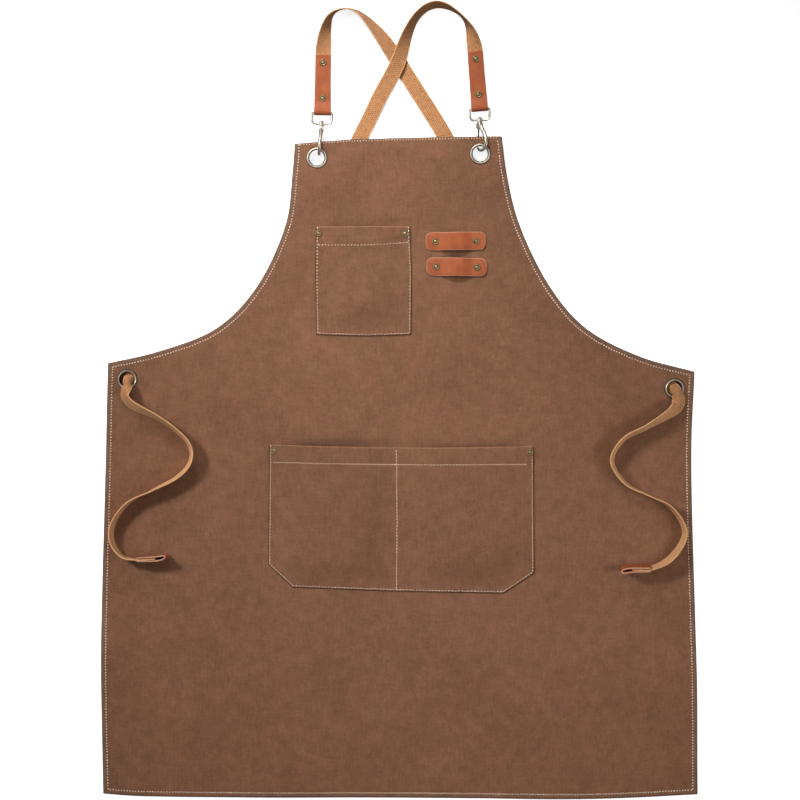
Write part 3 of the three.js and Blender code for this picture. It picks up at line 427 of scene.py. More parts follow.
# Ends of the stitch lines: above the bib's top edge, from its corners and under a pocket's mouth.
# The hem's line is left out where it comes nearer to the edge than it should by STITCH_SLACK.
# SEAM_BOW is how far a pocket's seam bends sideways at half its height.
HEM_STITCH_END = 4
TOP_STITCH_END = 1.5
SEAM_STITCH_END = 2.5
STITCH_SLACK = 0.25
SEAM_BOW = 0.8

# Spacing of mesh rows near a cut edge
FINE = (0, 0.6, 1.4, 2.4, 3.6, 4.8, 5.7, 6.7, 8.2, 11, 15)
# Depth over which the rows follow a shaped top or bottom edge
SHAPED_DEPTH = 70

# Spacing of the yarns, in metres: canvas; webbing's chevrons, ribs, warp ends and selvedge ribs
CANVAS_YARN = 0.0011
WEB_CHEVRON = 0.0062
WEB_RIB = 0.0026
WEB_END = 0.0021
SELVEDGE_RIB = 0.0019

# Softboxes, in metres: name, power setting, place, target, size, spread of the light
SOFTBOXES = (
    ("key_softbox", "key_power", (-1.5, 0.68, 1.25), (0.15, -0.5, 0), 0.3, 54),
    ("fill_softbox", "fill_power", (1.27, -0.36, 0.95), (0.0, -0.12, 0), 0.4, 62),
    ("top_softbox", "top_power", (-0.35, 1.25, 0.9), (-0.06, 0.35, 0), 0.35, 38),
)
# Size and drop of the floor in metres, width of the camera's sensor in millimetres
FLOOR_SIZE = 9
FLOOR_DROP = 0.0003
SENSOR = 36

EYELET_NODES = tuple(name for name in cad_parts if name.startswith("eyelet_"))
RIVET_NODES = tuple(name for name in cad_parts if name.startswith("rivet_"))


def number_property(name, description, default, unit="NONE"):
    return FloatProperty(name=name, description=description, default=default, unit=unit)


def length_property(name, description, default):
    return number_property(name, description, default, "LENGTH")


def power_property(name, description, default):
    return number_property(name, description, default, "POWER")


def colour_property(name, description, default):
    return FloatVectorProperty(
        name=name, description=description, default=default, subtype="COLOR", size=3, min=0, max=1
    )


class ApronSizes(bpy.types.PropertyGroup):
    """Sizes of the cloth, leather, webbing and thread, in metres."""

    cloth: length_property("Canvas", "Thickness of the canvas", 0.0012)
    hem: length_property("Hem", "Width of the folded hem", 0.008)
    hem_stitch: length_property("Hem stitch", "Distance of the hem stitch from the edge", 0.0057)
    pocket_stitch: length_property("Pocket stitch", "Distance of a pocket's stitch from its edge", 0.002)
    hem_pitch: length_property("Hem pitch", "Length of one stitch of the hem", 0.0034)
    pocket_pitch: length_property("Pocket pitch", "Length of one stitch of the pockets", 0.0039)
    thread: length_property("Thread", "Thickness of the thread", 0.0012)
    web_width: length_property("Web width", "Width of the webbing", 0.019)
    web_thick: length_property("Web thickness", "Thickness of the webbing", 0.0016)
    leather: length_property("Leather", "Thickness of the leather", 0.0018)

    def mm(self, name):
        """One of the sizes in millimetres."""
        return getattr(self, name) / MM


class ApronColours(bpy.types.PropertyGroup):
    """Colours of the finishes, in linear light."""

    canvas_warm: colour_property("Warm canvas", "Reddish tone of the canvas", (0.228, 0.1035, 0.0595))
    canvas_olive: colour_property("Olive canvas", "Greenish tone of the canvas", (0.21, 0.1025, 0.0565))
    canvas_hem: colour_property("Hem", "Greyer tone of the folded hem", (0.212, 0.12, 0.08))
    leather: colour_property("Leather", "Face of the leather", (0.383, 0.098, 0.0335))
    leather_edge: colour_property("Cut edge", "Raw cut edge of the leather", (0.52, 0.26, 0.165))
    webbing: colour_property("Webbing", "Light yarns of the webbing", (0.72, 0.38, 0.17))
    webbing_dark: colour_property("Webbing shade", "Dark yarns of the webbing", (0.33, 0.122, 0.046))
    thread: colour_property("Thread", "Stitching thread", (0.94, 0.75, 0.58))
    nickel: colour_property("Nickel", "Bright antique nickel", (0.68, 0.61, 0.5))
    brass: colour_property("Brass", "Bright antique brass", (0.34, 0.25, 0.115))
    # The dark film colour also serves as painted shade on the metal's rims.
    patina_and_shade: colour_property("Patina", "Dark film in the recesses of the metal", (0.075, 0.055, 0.035))


class ApronStage(bpy.types.PropertyGroup):
    """Camera, light and floor."""

    view_width: length_property("View width", "Width of the view at the floor", 0.96)
    lens: number_property("Lens", "Focal length of the camera in millimetres", 200)
    key_power: power_property("Key", "Power of the softbox at the left", 3.46)
    fill_power: power_property("Fill", "Power of the softbox at the right", 1.29)
    top_power: power_property("Top", "Power of the softbox above the bib", 1.21)
    zenith: number_property("Zenith", "Strength of the light from straight above", 0.6)
    horizon: number_property("Horizon", "Strength of the light from the sides", 0.06)
    floor_glow: number_property("Floor glow", "Light that the lit floor gives off", 0.8)
    floor: colour_property("Floor", "Colour of the floor", (0.93, 0.93, 0.93))


# Curves and heights, in millimetres

def smooth(values, low, high):
    """0 below low, 1 above high, eased between."""
    share = np.clip((np.asarray(values, float) - low) / (high - low), 0, 1)
    return share * share * (3 - 2 * share)


def hump(values, reach):
    """1 at no distance, falling away to both sides."""
    return np.exp(-((values / reach) ** 2))


def rolled(near, depth, reach):
    """Fall of a rounded edge at a distance from the edge."""
    return depth * (1 - np.sqrt(1 - np.clip(1 - near / reach, 0, 1) ** 2))


def soften(values, reach=3):
    """Running mean that keeps the ends."""
    kernel = np.ones(2 * reach + 1) / (2 * reach + 1)
    return np.convolve(np.pad(values, reach, mode="edge"), kernel, mode="valid")


def unit(vectors):
    """Rows of vectors brought to length 1."""
    return vectors / np.linalg.norm(vectors, axis=1, keepdims=True)


class Route:
    """A smooth line through points. Its parameter counts the points passed."""

    def __init__(self, points):
        inner = np.array(points, float)
        self.points = np.vstack([2 * inner[0] - inner[1], inner, 2 * inner[-1] - inner[-2]])
        self.end = len(inner) - 1

    def at(self, place):
        place = np.clip(np.atleast_1d(np.asarray(place, float)), 0, self.end)
        index = np.minimum(place.astype(int), self.end - 1)
        share = (place - index)[:, None]
        corners = [self.points[index + k] for k in range(4)]
        spans = [
            np.sqrt(np.maximum(np.linalg.norm(b - a, axis=1, keepdims=True), 1e-6))
            for a, b in zip(corners, corners[1:])
        ]
        before, start, stop, after = corners
        first, middle, last = spans
        lead = (start - before) / first - (stop - before) / (first + middle) + (stop - start) / middle
        trail = (stop - start) / middle - (after - start) / (middle + last) + (after - stop) / last
        square = share**2
        cube = share**3
        return (
            start * (2 * cube - 3 * square + 1)
            + middle * lead * (cube - 2 * square + share)
            + stop * (3 * square - 2 * cube)
            + middle * trail * (cube - square)
        )

    def lengths(self):
        """Parameters and the lengths walked to them."""
        places = np.linspace(0, self.end, 60 * self.end + 1)
        steps = np.linalg.norm(np.diff(self.at(places), axis=0), axis=1)
        return places, np.concatenate([[0], np.cumsum(steps)])

    def places(self, walked):
        """Parameters at the given lengths walked."""
        places, lengths = self.lengths()
        return np.interp(walked, lengths, places)

    def length(self):
        return self.lengths()[1][-1]

    def line(self, count):
        """A count of points spread evenly over the parameter."""
        return self.at(np.linspace(0, self.end, count))

    def walk(self, walked):
        """Points at the given lengths walked."""
        return self.at(self.places(walked))


class Polyline(Route):
    """Straight runs between points, with the same parameter."""

    def at(self, place):
        place = np.clip(np.atleast_1d(np.asarray(place, float)), 0, self.end)
        inner = self.points[1:-1]
        counts = np.arange(self.end + 1)
        return np.stack([np.interp(place, counts, inner[:, k]) for k in range(inner.shape[1])], axis=1)


def spaced(length, step, fine_start=True, fine_end=True):
    """Distances along a length, closer together next to a cut edge."""
    low = np.array(FINE if fine_start else (0,), float)
    high = np.array(FINE if fine_end else (0,), float)
    inner = length - low[-1] - high[-1]
    count = max(1, round(inner / step))
    middle = low[-1] + inner * np.arange(1, count) / count
    return np.concatenate([low, middle, length - high[::-1]])


def distance_to(points, line):
    """Distance of plan points from a polyline."""
    flat = np.asarray(points, float).reshape(-1, 2)
    starts = line[:-1]
    runs = np.diff(line, axis=0)
    squares = np.maximum((runs**2).sum(1), 1e-9)
    result = np.empty(len(flat))
    for first in range(0, len(flat), 2000):
        block = flat[first : first + 2000, None, :] - starts
        share = np.clip((block * runs).sum(2) / squares, 0, 1)
        result[first : first + 2000] = np.linalg.norm(block - share[..., None] * runs, axis=2).min(1)
    return result.reshape(np.asarray(points).shape[:-1])


def inset_line(line, distance):
    """A line moved to its left, with square corners."""
    line = line[np.concatenate([[True], np.linalg.norm(np.diff(line, axis=0), axis=1) > 1e-6])]
    runs = unit(np.diff(line, axis=0))
    before = np.vstack([runs[:1], runs])
    after = np.vstack([runs, runs[-1:]])
    turns = before + after
    inward = unit(np.stack([-turns[:, 1], turns[:, 0]], axis=1))
    square = np.stack([-before[:, 1], before[:, 0]], axis=1)
    reach = np.maximum((inward * square).sum(1), 0.5)
    return line + inward * (distance / reach)[:, None]


def cloth_under(x, y):
    """Height of the cloth's underside."""
    share = np.clip((y - YOKE_FOOT) / (YOKE_HEAD - YOKE_FOOT), 0, 1)
    height = SKIRT_LEVEL + (YOKE_LEVEL - SKIRT_LEVEL) * share
    for _, centre_x, centre_y, rise, flat, reach in LIFTS:
        height = height + rise * (1 - smooth(np.hypot(x - centre_x, y - centre_y), flat, reach))
    return height


def calm(x, y):
    """0 where something is fastened to the cloth, 1 where it may ripple."""
    share = np.ones_like(x)
    for node in (*POCKETS, *TOOL_LOOP_TILT, *EYELET_NODES):
        low, high = (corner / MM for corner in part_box(node))
        aside = np.hypot(
            np.maximum(np.maximum(low.x - x, x - high.x), 0),
            np.maximum(np.maximum(low.y - y, y - high.y), 0),
        )
        share = share * smooth(aside, 3, 45)
    return share


def ripple(x, y):
    """Slack of the lying cloth: long soft waves, never below the flat cloth."""
    waves = (
        np.sin(x / 31 + 1.3 * np.sin(y / 83) + 0.4)
        + np.sin(y / 43 + 1.1 * np.sin(x / 97 + 2.1))
        + 0.8 * np.sin((x + 0.7 * y) / 57 + 4.0)
        + 0.5 * np.sin((x - 1.2 * y) / 24 + 1.7)
    )
    slack = np.zeros_like(x)
    for pocket, centre, reach, rise in MOUTH_FOLDS:
        above = y - POCKETS[pocket]["mouth"][1] - MOUTH_CREST
        fade = np.where(above > 0, above / CREST_ABOVE, above / CREST_BELOW)
        slack = slack + rise * np.exp(-(((x - centre) / reach) ** 2) - fade**2)
    for centre_x, centre_y, reach_x, reach_y, rise in BIB_FOLDS:
        slack = slack + rise * np.exp(-(((x - centre_x) / reach_x) ** 2) - ((y - centre_y) / reach_y) ** 2)
    return 0.24 * (waves + 3.3) * calm(x, y) + slack


class PanelShape:
    """Plan and relief of the body panel."""

    def __init__(self, sizes):
        self.cloth = sizes.mm("cloth")
        self.hem = sizes.mm("hem")
        self.stitch = sizes.mm("hem_stitch")
        left = [(row[1], row[2]) for row in EDGE]
        right = [(row[3], row[4]) for row in EDGE]
        self.upper = [Route(side[: WAIST_ROW + 1]) for side in (left, right)]
        self.lower = [Route(side[WAIST_ROW:]) for side in (left, right)]
        self.top = Route([left[0], *TOP_EDGE, right[0]])
        self.bottom = Route([left[-1], *BOTTOM_EDGE, right[-1]])
        sides = [self.side_line(index) for index in (0, 1)]
        foot = self.bottom.line(200)
        self.hemmed = np.vstack([sides[0], foot[1:-1], sides[1][::-1]])
        self.top_line = self.top.line(80)
        self.outline = np.vstack([self.hemmed, self.top_line[::-1]])

    def side_line(self, index):
        """One side from the bib's top corner to the hem's corner."""
        upper, lower = self.upper[index], self.lower[index]
        above = upper.walk(spaced(upper.length(), BIB_STEP, fine_end=False))
        below = lower.walk(spaced(lower.length(), SKIRT_STEP, fine_start=False))
        return np.vstack([above, below[1:]])

    def edge(self, points):
        """Distances from the hemmed edge and from the top edge."""
        return distance_to(points, self.hemmed), distance_to(points, self.top_line)

    def top_height(self, points):
        x, y = points[..., 0], points[..., 1]
        side, top = self.edge(points)
        fall = rolled(np.minimum(side, top), 1.15, 1.7)
        welt = 0.4 * smooth(side, 0.4, 2) * (1 - smooth(side, self.stitch - 1.4, self.stitch))
        groove = 0.42 * hump(side - self.stitch, 0.8)
        top_groove = 0.3 * hump(top - TOP_STITCH_INSET, 0.7)
        pucker = np.sin(x / 1.9 + 2 * np.sin(y / 23)) * np.sin(y / 2.1 + 2 * np.sin(x / 29))
        pucker = 0.16 * pucker * hump(side - self.stitch, 3.5)
        return cloth_under(x, y) + self.cloth + ripple(x, y) - fall + welt - groove - top_groove + pucker

    def under_height(self, points):
        x, y = points[..., 0], points[..., 1]
        side, top = self.edge(points)
        hem = 1 - smooth(side, self.hem - 0.8, self.hem + 0.8)
        facing = 1 - smooth(top, FACING - 1, FACING + 1)
        tuck = 0.35 * (1 - smooth(np.minimum(side, top), 0, 1.4))
        return cloth_under(x, y) + ripple(x, y) - self.cloth * np.maximum(hem, facing) + tuck

    def plan(self):
        """Grid of plan points, rows from the bib's top edge down."""
        left, right = same_count(self.side_line(0), self.side_line(1))
        return patch_plan(left, right, self.top, self.bottom, PANEL_STEP)


def same_count(*lines):
    """Lines thinned to as many rows as the shortest has."""
    count = min(len(line) for line in lines)
    return [line[np.linspace(0, len(line) - 1, count).round().astype(int)] for line in lines]


def slope_stretch(line):
    """How far along a row a cut edge's spacing has to reach to stay square to the edge."""
    run = np.gradient(line, axis=0)
    steep = np.abs(run[:, 1]) / np.maximum(np.linalg.norm(run, axis=1), 1e-6)
    return soften(1 / np.maximum(steep, 0.22), 4)


def patch_plan(left, right, top, bottom, step):
    """Grid of plan points between a left and a right edge, with shaped top and bottom edges."""
    widest = np.abs(right[:, 0] - left[:, 0]).max()
    fine = np.array(FINE, float)
    inner = max(2, round((widest - 2 * fine[-1]) / step))
    shares = np.arange(1, inner) / inner
    grid = []
    for start, stop, reach, back in zip(left, right, slope_stretch(left), slope_stretch(right)):
        width = stop[0] - start[0]
        first = fine * reach / width
        last = 1 - fine[::-1] * back / width
        across = np.concatenate([first, first[-1] + shares * (last[0] - first[-1]), last])
        grid.append(start + across[:, None] * (stop - start))
    grid = np.array(grid)
    gaps = row_gaps(left)
    for route, row, depth in ((top, 0, np.cumsum(gaps)), (bottom, -1, np.cumsum(gaps[::-1])[::-1])):
        line = route.line(200)
        wanted = np.interp(grid[row, :, 0], line[:, 0], line[:, 1])
        grid[:, :, 1] += (1 - smooth(depth, 0, SHAPED_DEPTH))[:, None] * (wanted - grid[row, :, 1])
    return grid


def row_gaps(line):
    """Distance of each row from the one before, the first row's being none."""
    return np.concatenate([[0], np.linalg.norm(np.diff(line, axis=0), axis=1)])


class PocketShape:
    """Plan and relief of one patch pocket."""

    def __init__(self, name, sizes):
        self.facts = POCKETS[name]
        self.cloth = sizes.mm("cloth")
        self.stitch = sizes.mm("pocket_stitch")
        self.left = Polyline(self.facts["left"])
        self.right = Polyline(self.facts["right"])
        self.mouth = Route([self.facts["left"][0], self.facts["mouth"], self.facts["right"][0]])
        self.foot = Route([self.facts["left"][-1], self.facts["foot"], self.facts["right"][-1]])
        self.hem = Route(self.facts["hem"])
        foot = self.foot.line(60)
        left = np.array(self.facts["left"], float)
        right = np.array(self.facts["right"], float)
        self.sewn = np.vstack([left[:-1], foot, right[:-1][::-1]])
        self.mouth_line = self.mouth.line(40)
        self.outline = np.vstack([self.sewn, self.mouth_line[::-1]])
        self.low = foot[:, 1].min()
        self.seams = (left[:, 0].min(), *self.facts["seams"], right[:, 0].max())

    def under_height(self, points):
        x, y = points[..., 0], points[..., 1]
        sideways = np.min([np.abs(x - seam) for seam in self.seams], axis=0)
        start, full = POCKET_SEWN * 0.7, POCKET_SEWN + POCKET_RAMP
        stand = smooth(sideways, start, full) * smooth(y - self.low, start, full)
        slack = 0.35 * np.sin(x / 17 + 0.8) * np.sin(y / 21 + 0.4 * np.sin(x / 13)) * stand
        return self.facts["level"] + self.cloth + GAP + POCKET_CLEAR * stand + slack

    def hem_depth(self, points):
        """How far a point lies above the stitch of the mouth's hem."""
        line = self.hem.line(60)
        return points[..., 1] - np.interp(points[..., 0], line[:, 0], line[:, 1])

    def top_height(self, points):
        x, y = points[..., 0], points[..., 1]
        sewn = distance_to(points, self.sewn)
        depth = self.hem_depth(points)
        doubled = 0.75 * smooth(depth, -0.6, 1.8)
        fall = rolled(np.minimum(sewn, distance_to(points, self.mouth_line)), 0.95, 1.3)
        groove = 0.3 * hump(sewn - self.stitch, 0.6)
        hem_groove = 0.25 * hump(depth, 0.9)
        seam_groove = np.zeros_like(sewn)
        for seam in self.facts["seams"]:
            seam_groove = np.maximum(seam_groove, 0.3 * hump(x - seam, 0.9))
        pucker = np.sin(x / 1.6) * np.sin(y / 1.7) * hump(sewn, 4)
        height = self.under_height(points) + self.cloth + doubled
        return height - fall - groove - hem_groove - seam_groove + 0.1 * pucker

    def plan(self):
        """Grid of plan points, rows from the mouth down."""
        edges = []
        for line in (self.left, self.right):
            lengths = np.linalg.norm(np.diff(line.points[1:-1], axis=0), axis=1)
            places = []
            for index, length in enumerate(lengths):
                first, final = index == 0, index == len(lengths) - 1
                walked = spaced(length, POCKET_STEP if first else CORNER_STEP, first, final)
                places.append((index + walked / length)[0 if first else 1 :])
            edges.append(np.concatenate(places))
        left, right = same_count(*edges)
        return patch_plan(self.left.at(left), self.right.at(right), self.mouth, self.foot, POCKET_WIDE_STEP)


# Meshes and objects

def deselect():
    if bpy.context.object and bpy.context.object.mode != "OBJECT":
        bpy.ops.object.mode_set(mode="OBJECT")
    bpy.ops.object.select_all(action="DESELECT")


def pick(obj):
    deselect()
    obj.select_set(True)
    bpy.context.view_layer.objects.active = obj
    return obj


def edit_all():
    """Edit mode on the active object, with everything selected."""
    bpy.ops.object.mode_set(mode="EDIT")
    bpy.ops.mesh.select_all(action="SELECT")


def close_edit():
    """Turns the edited faces outward and leaves edit mode."""
    bpy.ops.mesh.select_all(action="SELECT")
    bpy.ops.mesh.normals_make_consistent(inside=False)
    bpy.ops.object.mode_set(mode="OBJECT")


def new_object(name, points, faces):
    """An object from points in millimetres and faces."""
    mesh = bpy.data.meshes.new(name)
    mesh.from_pydata((np.asarray(points, float) * MM).tolist(), [], faces)
    mesh.validate()
    obj = bpy.data.objects.new(name, mesh)
    bpy.context.scene.collection.objects.link(obj)
    return obj


def grid_faces(rows, columns, start=0, wrap=False):
    """Quads of a grid of points, closed across the columns where wrap is set."""
    i, j = np.meshgrid(np.arange(rows - 1), np.arange(columns if wrap else columns - 1), indexing="ij")
    right = (j + 1) % columns
    above, below = i * columns, (i + 1) * columns
    quads = np.stack([above + j, above + right, below + right, below + j], axis=-1)
    return (quads.reshape(-1, 4) + start).tolist()


def sheet_object(name, plan, top, under):
    """A closed sheet between two height functions over a plan grid, rows running down the sheet."""
    rows, columns = plan.shape[:2]
    upper = np.concatenate([plan, top(plan)[..., None]], axis=2).reshape(-1, 3)
    lower = np.concatenate([plan, under(plan)[..., None]], axis=2).reshape(-1, 3)
    count = rows * columns
    faces = [quad[::-1] for quad in grid_faces(rows, columns)]
    faces += grid_faces(rows, columns, count)
    index = np.arange(count).reshape(rows, columns)
    rim = np.concatenate([index[0], index[1:, -1], index[-1, -2::-1], index[-2:0:-1, 0]])
    following = np.roll(rim, -1)
    faces += np.stack([rim, following, following + count, rim + count], axis=1).tolist()
    return new_object(name, np.vstack([upper, lower]), faces)


def apply_modifiers(obj):
    pick(obj)
    for modifier in list(obj.modifiers):
        bpy.ops.object.modifier_apply(modifier=modifier.name)


def combine(obj, other, operation):
    """Cuts or joins another object into this one and removes the other."""
    modifier = obj.modifiers.new("combine", "BOOLEAN")
    modifier.operation = operation
    modifier.solver = "MANIFOLD"
    modifier.object = other
    apply_modifiers(obj)
    bpy.data.objects.remove(other)


def smooth_shade(obj, angle):
    """Smooth shading, sharp where faces meet at more than the angle."""
    pick(obj)
    bpy.ops.object.shade_smooth_by_angle(angle=math.radians(angle))


def set_attribute(obj, name, values):
    """A number for each point, for the finish to read."""
    attribute = obj.data.attributes.get(name) or obj.data.attributes.new(name, "FLOAT", "POINT")
    attribute.data.foreach_set("value", np.asarray(values, np.float32).ravel())


def mesh_points(obj):
    """Points of an object's mesh in millimetres."""
    points = np.empty(3 * len(obj.data.vertices))
    obj.data.vertices.foreach_get("co", points)
    return points.reshape(-1, 3) / MM


def dress(obj, body, finishes, nodes=()):
    """Gives a piece its finishes, parents it to its body's empty and hides the CAD nodes that it stands
    for.
    """
    marks = np.zeros(len(obj.data.polygons), np.int32)
    obj.data.polygons.foreach_get("material_index", marks)
    obj.data.materials.clear()
    for finish in finishes:
        obj.data.materials.append(bpy.data.materials[finish])
    obj.data.polygons.foreach_set("material_index", marks)
    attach(obj, body)
    if nodes:
        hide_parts(*nodes)
    return obj


def set_uv(obj, across, along):
    """UV map from two numbers for each point, in metres."""
    layer = obj.data.uv_layers.new(name="UVMap")
    loops = np.empty(len(obj.data.loops), np.int64)
    obj.data.loops.foreach_get("vertex_index", loops)
    pairs = np.stack([np.asarray(across)[loops], np.asarray(along)[loops]], axis=1) * MM
    layer.data.foreach_set("uv", pairs.astype(np.float32).ravel())


def strip_section(width, thick, corner, parts):
    """Points of a flat strip's section, across and through, with rounded edges."""
    flat = np.linspace(-width / 2 + corner, width / 2 - corner, parts + 1)
    turn = np.radians([-67.5, -45, -22.5, 0, 22.5, 45, 67.5])
    bend = np.stack([width / 2 - corner + corner * np.cos(turn), 0.5 * thick * np.sin(turn)], axis=1)
    upper = np.stack([flat, np.full(parts + 1, thick / 2)], axis=1)
    half = np.vstack([upper, bend[::-1]])
    return np.vstack([half, -half])


def sweep(name, centres, wides, faces, section, cups=None):
    """A strip along a line. Wides point along its width, faces out of its upper face, and cups fold it."""
    across, through = section[:, 0], section[:, 1]
    folds = np.zeros(len(centres)) if cups is None else np.radians(cups)
    reach = np.sqrt(across**2 + CREASE_ROUND) - math.sqrt(CREASE_ROUND)
    lean = np.sign(across) * smooth(np.abs(across), 0, CREASE_HALF)
    rings = []
    for centre, wide, face, fold in zip(centres, wides, faces, folds):
        sideways = across * math.cos(fold) - lean * math.sin(fold) * through
        upwards = reach * math.sin(fold) + through * math.cos(fold)
        rings.append(centre + sideways[:, None] * wide + upwards[:, None] * face)
    rows, columns = len(rings), len(section)
    last = (rows - 1) * columns
    skin = grid_faces(rows, columns, wrap=True)
    skin += [list(range(columns)), list(range(last, last + columns))[::-1]]
    obj = new_object(name, np.concatenate(rings), [side[::-1] for side in skin])
    walked = np.cumsum(row_gaps(np.asarray(centres)))
    set_uv(obj, np.tile(across, rows), np.repeat(walked, columns))
    return obj


def mark_cut_edges(obj, half_width):
    """Second finish on the faces of a strip's cut edges and on its ends."""
    layer = obj.data.uv_layers["UVMap"].data
    for polygon in obj.data.polygons:
        across = [abs(layer[loop].uv[0]) / MM for loop in polygon.loop_indices]
        if min(across) > half_width - 0.45 or len(polygon.vertices) > 4:
            polygon.material_index = 1


def folded_strip(name, line, wide, width, thick, corner, flare=1.0):
    """A leather strip along a line. Wide points along its width, flare is the share of it at each point."""
    along = unit(np.gradient(line, axis=0))
    wides = np.tile(wide, (len(line), 1))
    section = strip_section(width, thick, corner, parts=8)
    strip = sweep(name, line, wides * flare, np.cross(wides, along), section)
    mark_cut_edges(strip, width / 2)
    smooth_shade(strip, 50)
    return strip


def turned(name, profile, sides):
    """A round piece about Z: a circle extruded ring by ring through rows of radius, height and polish."""
    table = np.array(profile, float)
    rows = table[:, :2] * MM
    deselect()
    bpy.ops.mesh.primitive_circle_add(vertices=sides, radius=rows[0][0], location=(0, 0, 0))
    obj = bpy.context.object
    obj.name = name
    edit_all()
    bpy.ops.transform.translate(value=(0, 0, rows[0][1]))
    for before, row in zip(rows, rows[1:]):
        bpy.ops.mesh.extrude_edges_move(TRANSFORM_OT_translate={"value": (0, 0, row[1] - before[1])})
        ratio = row[0] / before[0]
        bpy.ops.transform.resize(value=(ratio, ratio, 1), center_override=(0, 0, row[1]))
    bpy.ops.mesh.select_all(action="SELECT")
    bpy.ops.mesh.remove_doubles(threshold=1e-6)
    bpy.ops.mesh.fill_holes(sides=0)
    close_edit()
    points = mesh_points(obj)
    radius = np.hypot(points[:, 0], points[:, 1])
    nearest = np.argmin(np.hypot(radius[:, None] - table[:, 0], points[:, 2:] - table[:, 1]), axis=1)
    set_attribute(obj, "polish", table[nearest, 2])
    smooth_shade(obj, 40)
    return obj


def wire(name, rows, closed=False):
    """A round wire through rows of x, y, z and radius."""
    deselect()
    bpy.ops.curve.primitive_bezier_curve_add()
    obj = bpy.context.object
    obj.name = name
    obj.data.dimensions = "3D"
    spline = obj.data.splines[0]
    spline.bezier_points.add(len(rows) - 2)
    thickest = max(row[3] for row in rows)
    for point, row in zip(spline.bezier_points, rows):
        point.co = Vector(row[:3]) * MM
        point.radius = row[3] / thickest
        point.handle_left_type = "AUTO"
        point.handle_right_type = "AUTO"
    spline.use_cyclic_u = closed
    spline.resolution_u = 8
    obj.data.bevel_depth = thickest * MM
    obj.data.bevel_resolution = 5
    obj.data.use_fill_caps = not closed
    bpy.ops.object.convert(target="MESH")
    edit_all()
    bpy.ops.mesh.remove_doubles(threshold=1e-7)
    close_edit()
    return bpy.context.object


def plate(name, outline, thick, bevel):
    """A plate across X whose outline is drawn in y and z."""
    deselect()
    bpy.ops.mesh.primitive_circle_add(vertices=len(outline), radius=MM)
    obj = bpy.context.object
    obj.name = name
    for vertex, (y, z) in zip(obj.data.vertices, outline):
        vertex.co = Vector((-thick / 2, y, z)) * MM
    edit_all()
    bpy.ops.mesh.edge_face_add()
    bpy.ops.mesh.extrude_region_move(TRANSFORM_OT_translate={"value": (thick * MM, 0, 0)})
    bpy.ops.mesh.select_all(action="SELECT")
    bpy.ops.mesh.normals_make_consistent(inside=False)
    bpy.ops.mesh.bevel(offset=bevel * MM, segments=3, affect="EDGES")
    bpy.ops.object.mode_set(mode="OBJECT")
    return obj


def rod(name, radius, low, high, axis, centre=(0, 0, 0), bevel=0.3):
    """A short round bar along an axis, its ends eased."""
    deselect()
    bpy.ops.mesh.primitive_cylinder_add(vertices=40, radius=radius * MM, depth=(high - low) * MM)
    obj = bpy.context.object
    obj.name = name
    bpy.ops.object.mode_set(mode="EDIT")
    bpy.ops.mesh.select_all(action="DESELECT")
    bpy.ops.object.mode_set(mode="OBJECT")
    for polygon in obj.data.polygons:
        polygon.select = abs(polygon.normal.z) > 0.9
    bpy.ops.object.mode_set(mode="EDIT")
    bpy.ops.mesh.bevel(offset=bevel * MM, segments=3, affect="EDGES")
    bpy.ops.object.mode_set(mode="OBJECT")
    square = math.pi / 2
    turns = {"x": Matrix.Rotation(square, 4, "Y"), "y": Matrix.Rotation(square, 4, "X"), "z": Matrix()}
    middle = (low + high) / 2
    shift = Vector(centre) + middle * Vector([axis == "x", axis == "y", axis == "z"])
    obj.data.transform(Matrix.Translation(shift * MM) @ turns[axis])
    return obj


def copy_of(obj, name, place):
    """A copy with its own mesh, put in place."""
    mesh = obj.data.copy()
    mesh.transform(place)
    made = bpy.data.objects.new(name, mesh)
    mesh.name = name
    bpy.context.scene.collection.objects.link(made)
    return made


def stand_on(obj, node):
    """Moves a turned piece to the middle of its node's box, in plan."""
    low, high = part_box(node)
    middle = (low + high) / 2
    obj.data.transform(Matrix.Translation((middle.x, middle.y, 0)))


def stood(x, y, z, turn):
    """A place in millimetres and a turn about Z in degrees, as a matrix."""
    return Matrix.Translation(Vector((x, y, z)) * MM) @ Matrix.Rotation(math.radians(turn), 4, "Z")


# Finishes

class Field:
    """A shader socket that takes part in Python arithmetic."""

    def __init__(self, finish, socket):
        self.finish = finish
        self.socket = socket

    def calculate(self, operation, *values):
        return self.finish.add("ShaderNodeMath", {"operation": operation}, dict(enumerate(values)))

    def __add__(self, other):
        return self.calculate("ADD", self, other)

    __radd__ = __add__

    def __sub__(self, other):
        return self.calculate("SUBTRACT", self, other)

    def __rsub__(self, other):
        return self.calculate("SUBTRACT", other, self)

    def __mul__(self, other):
        return self.calculate("MULTIPLY", self, other)

    __rmul__ = __mul__

    def __abs__(self):
        return self.calculate("ABSOLUTE", self)

    def sine(self):
        return self.calculate("SINE", self)

    def ease(self, low, high):
        """0 below low, 1 above high, eased between."""
        values = {"Value": self, "From Min": low, "From Max": high}
        return self.finish.add("ShaderNodeMapRange", {"interpolation_type": "SMOOTHSTEP"}, values)


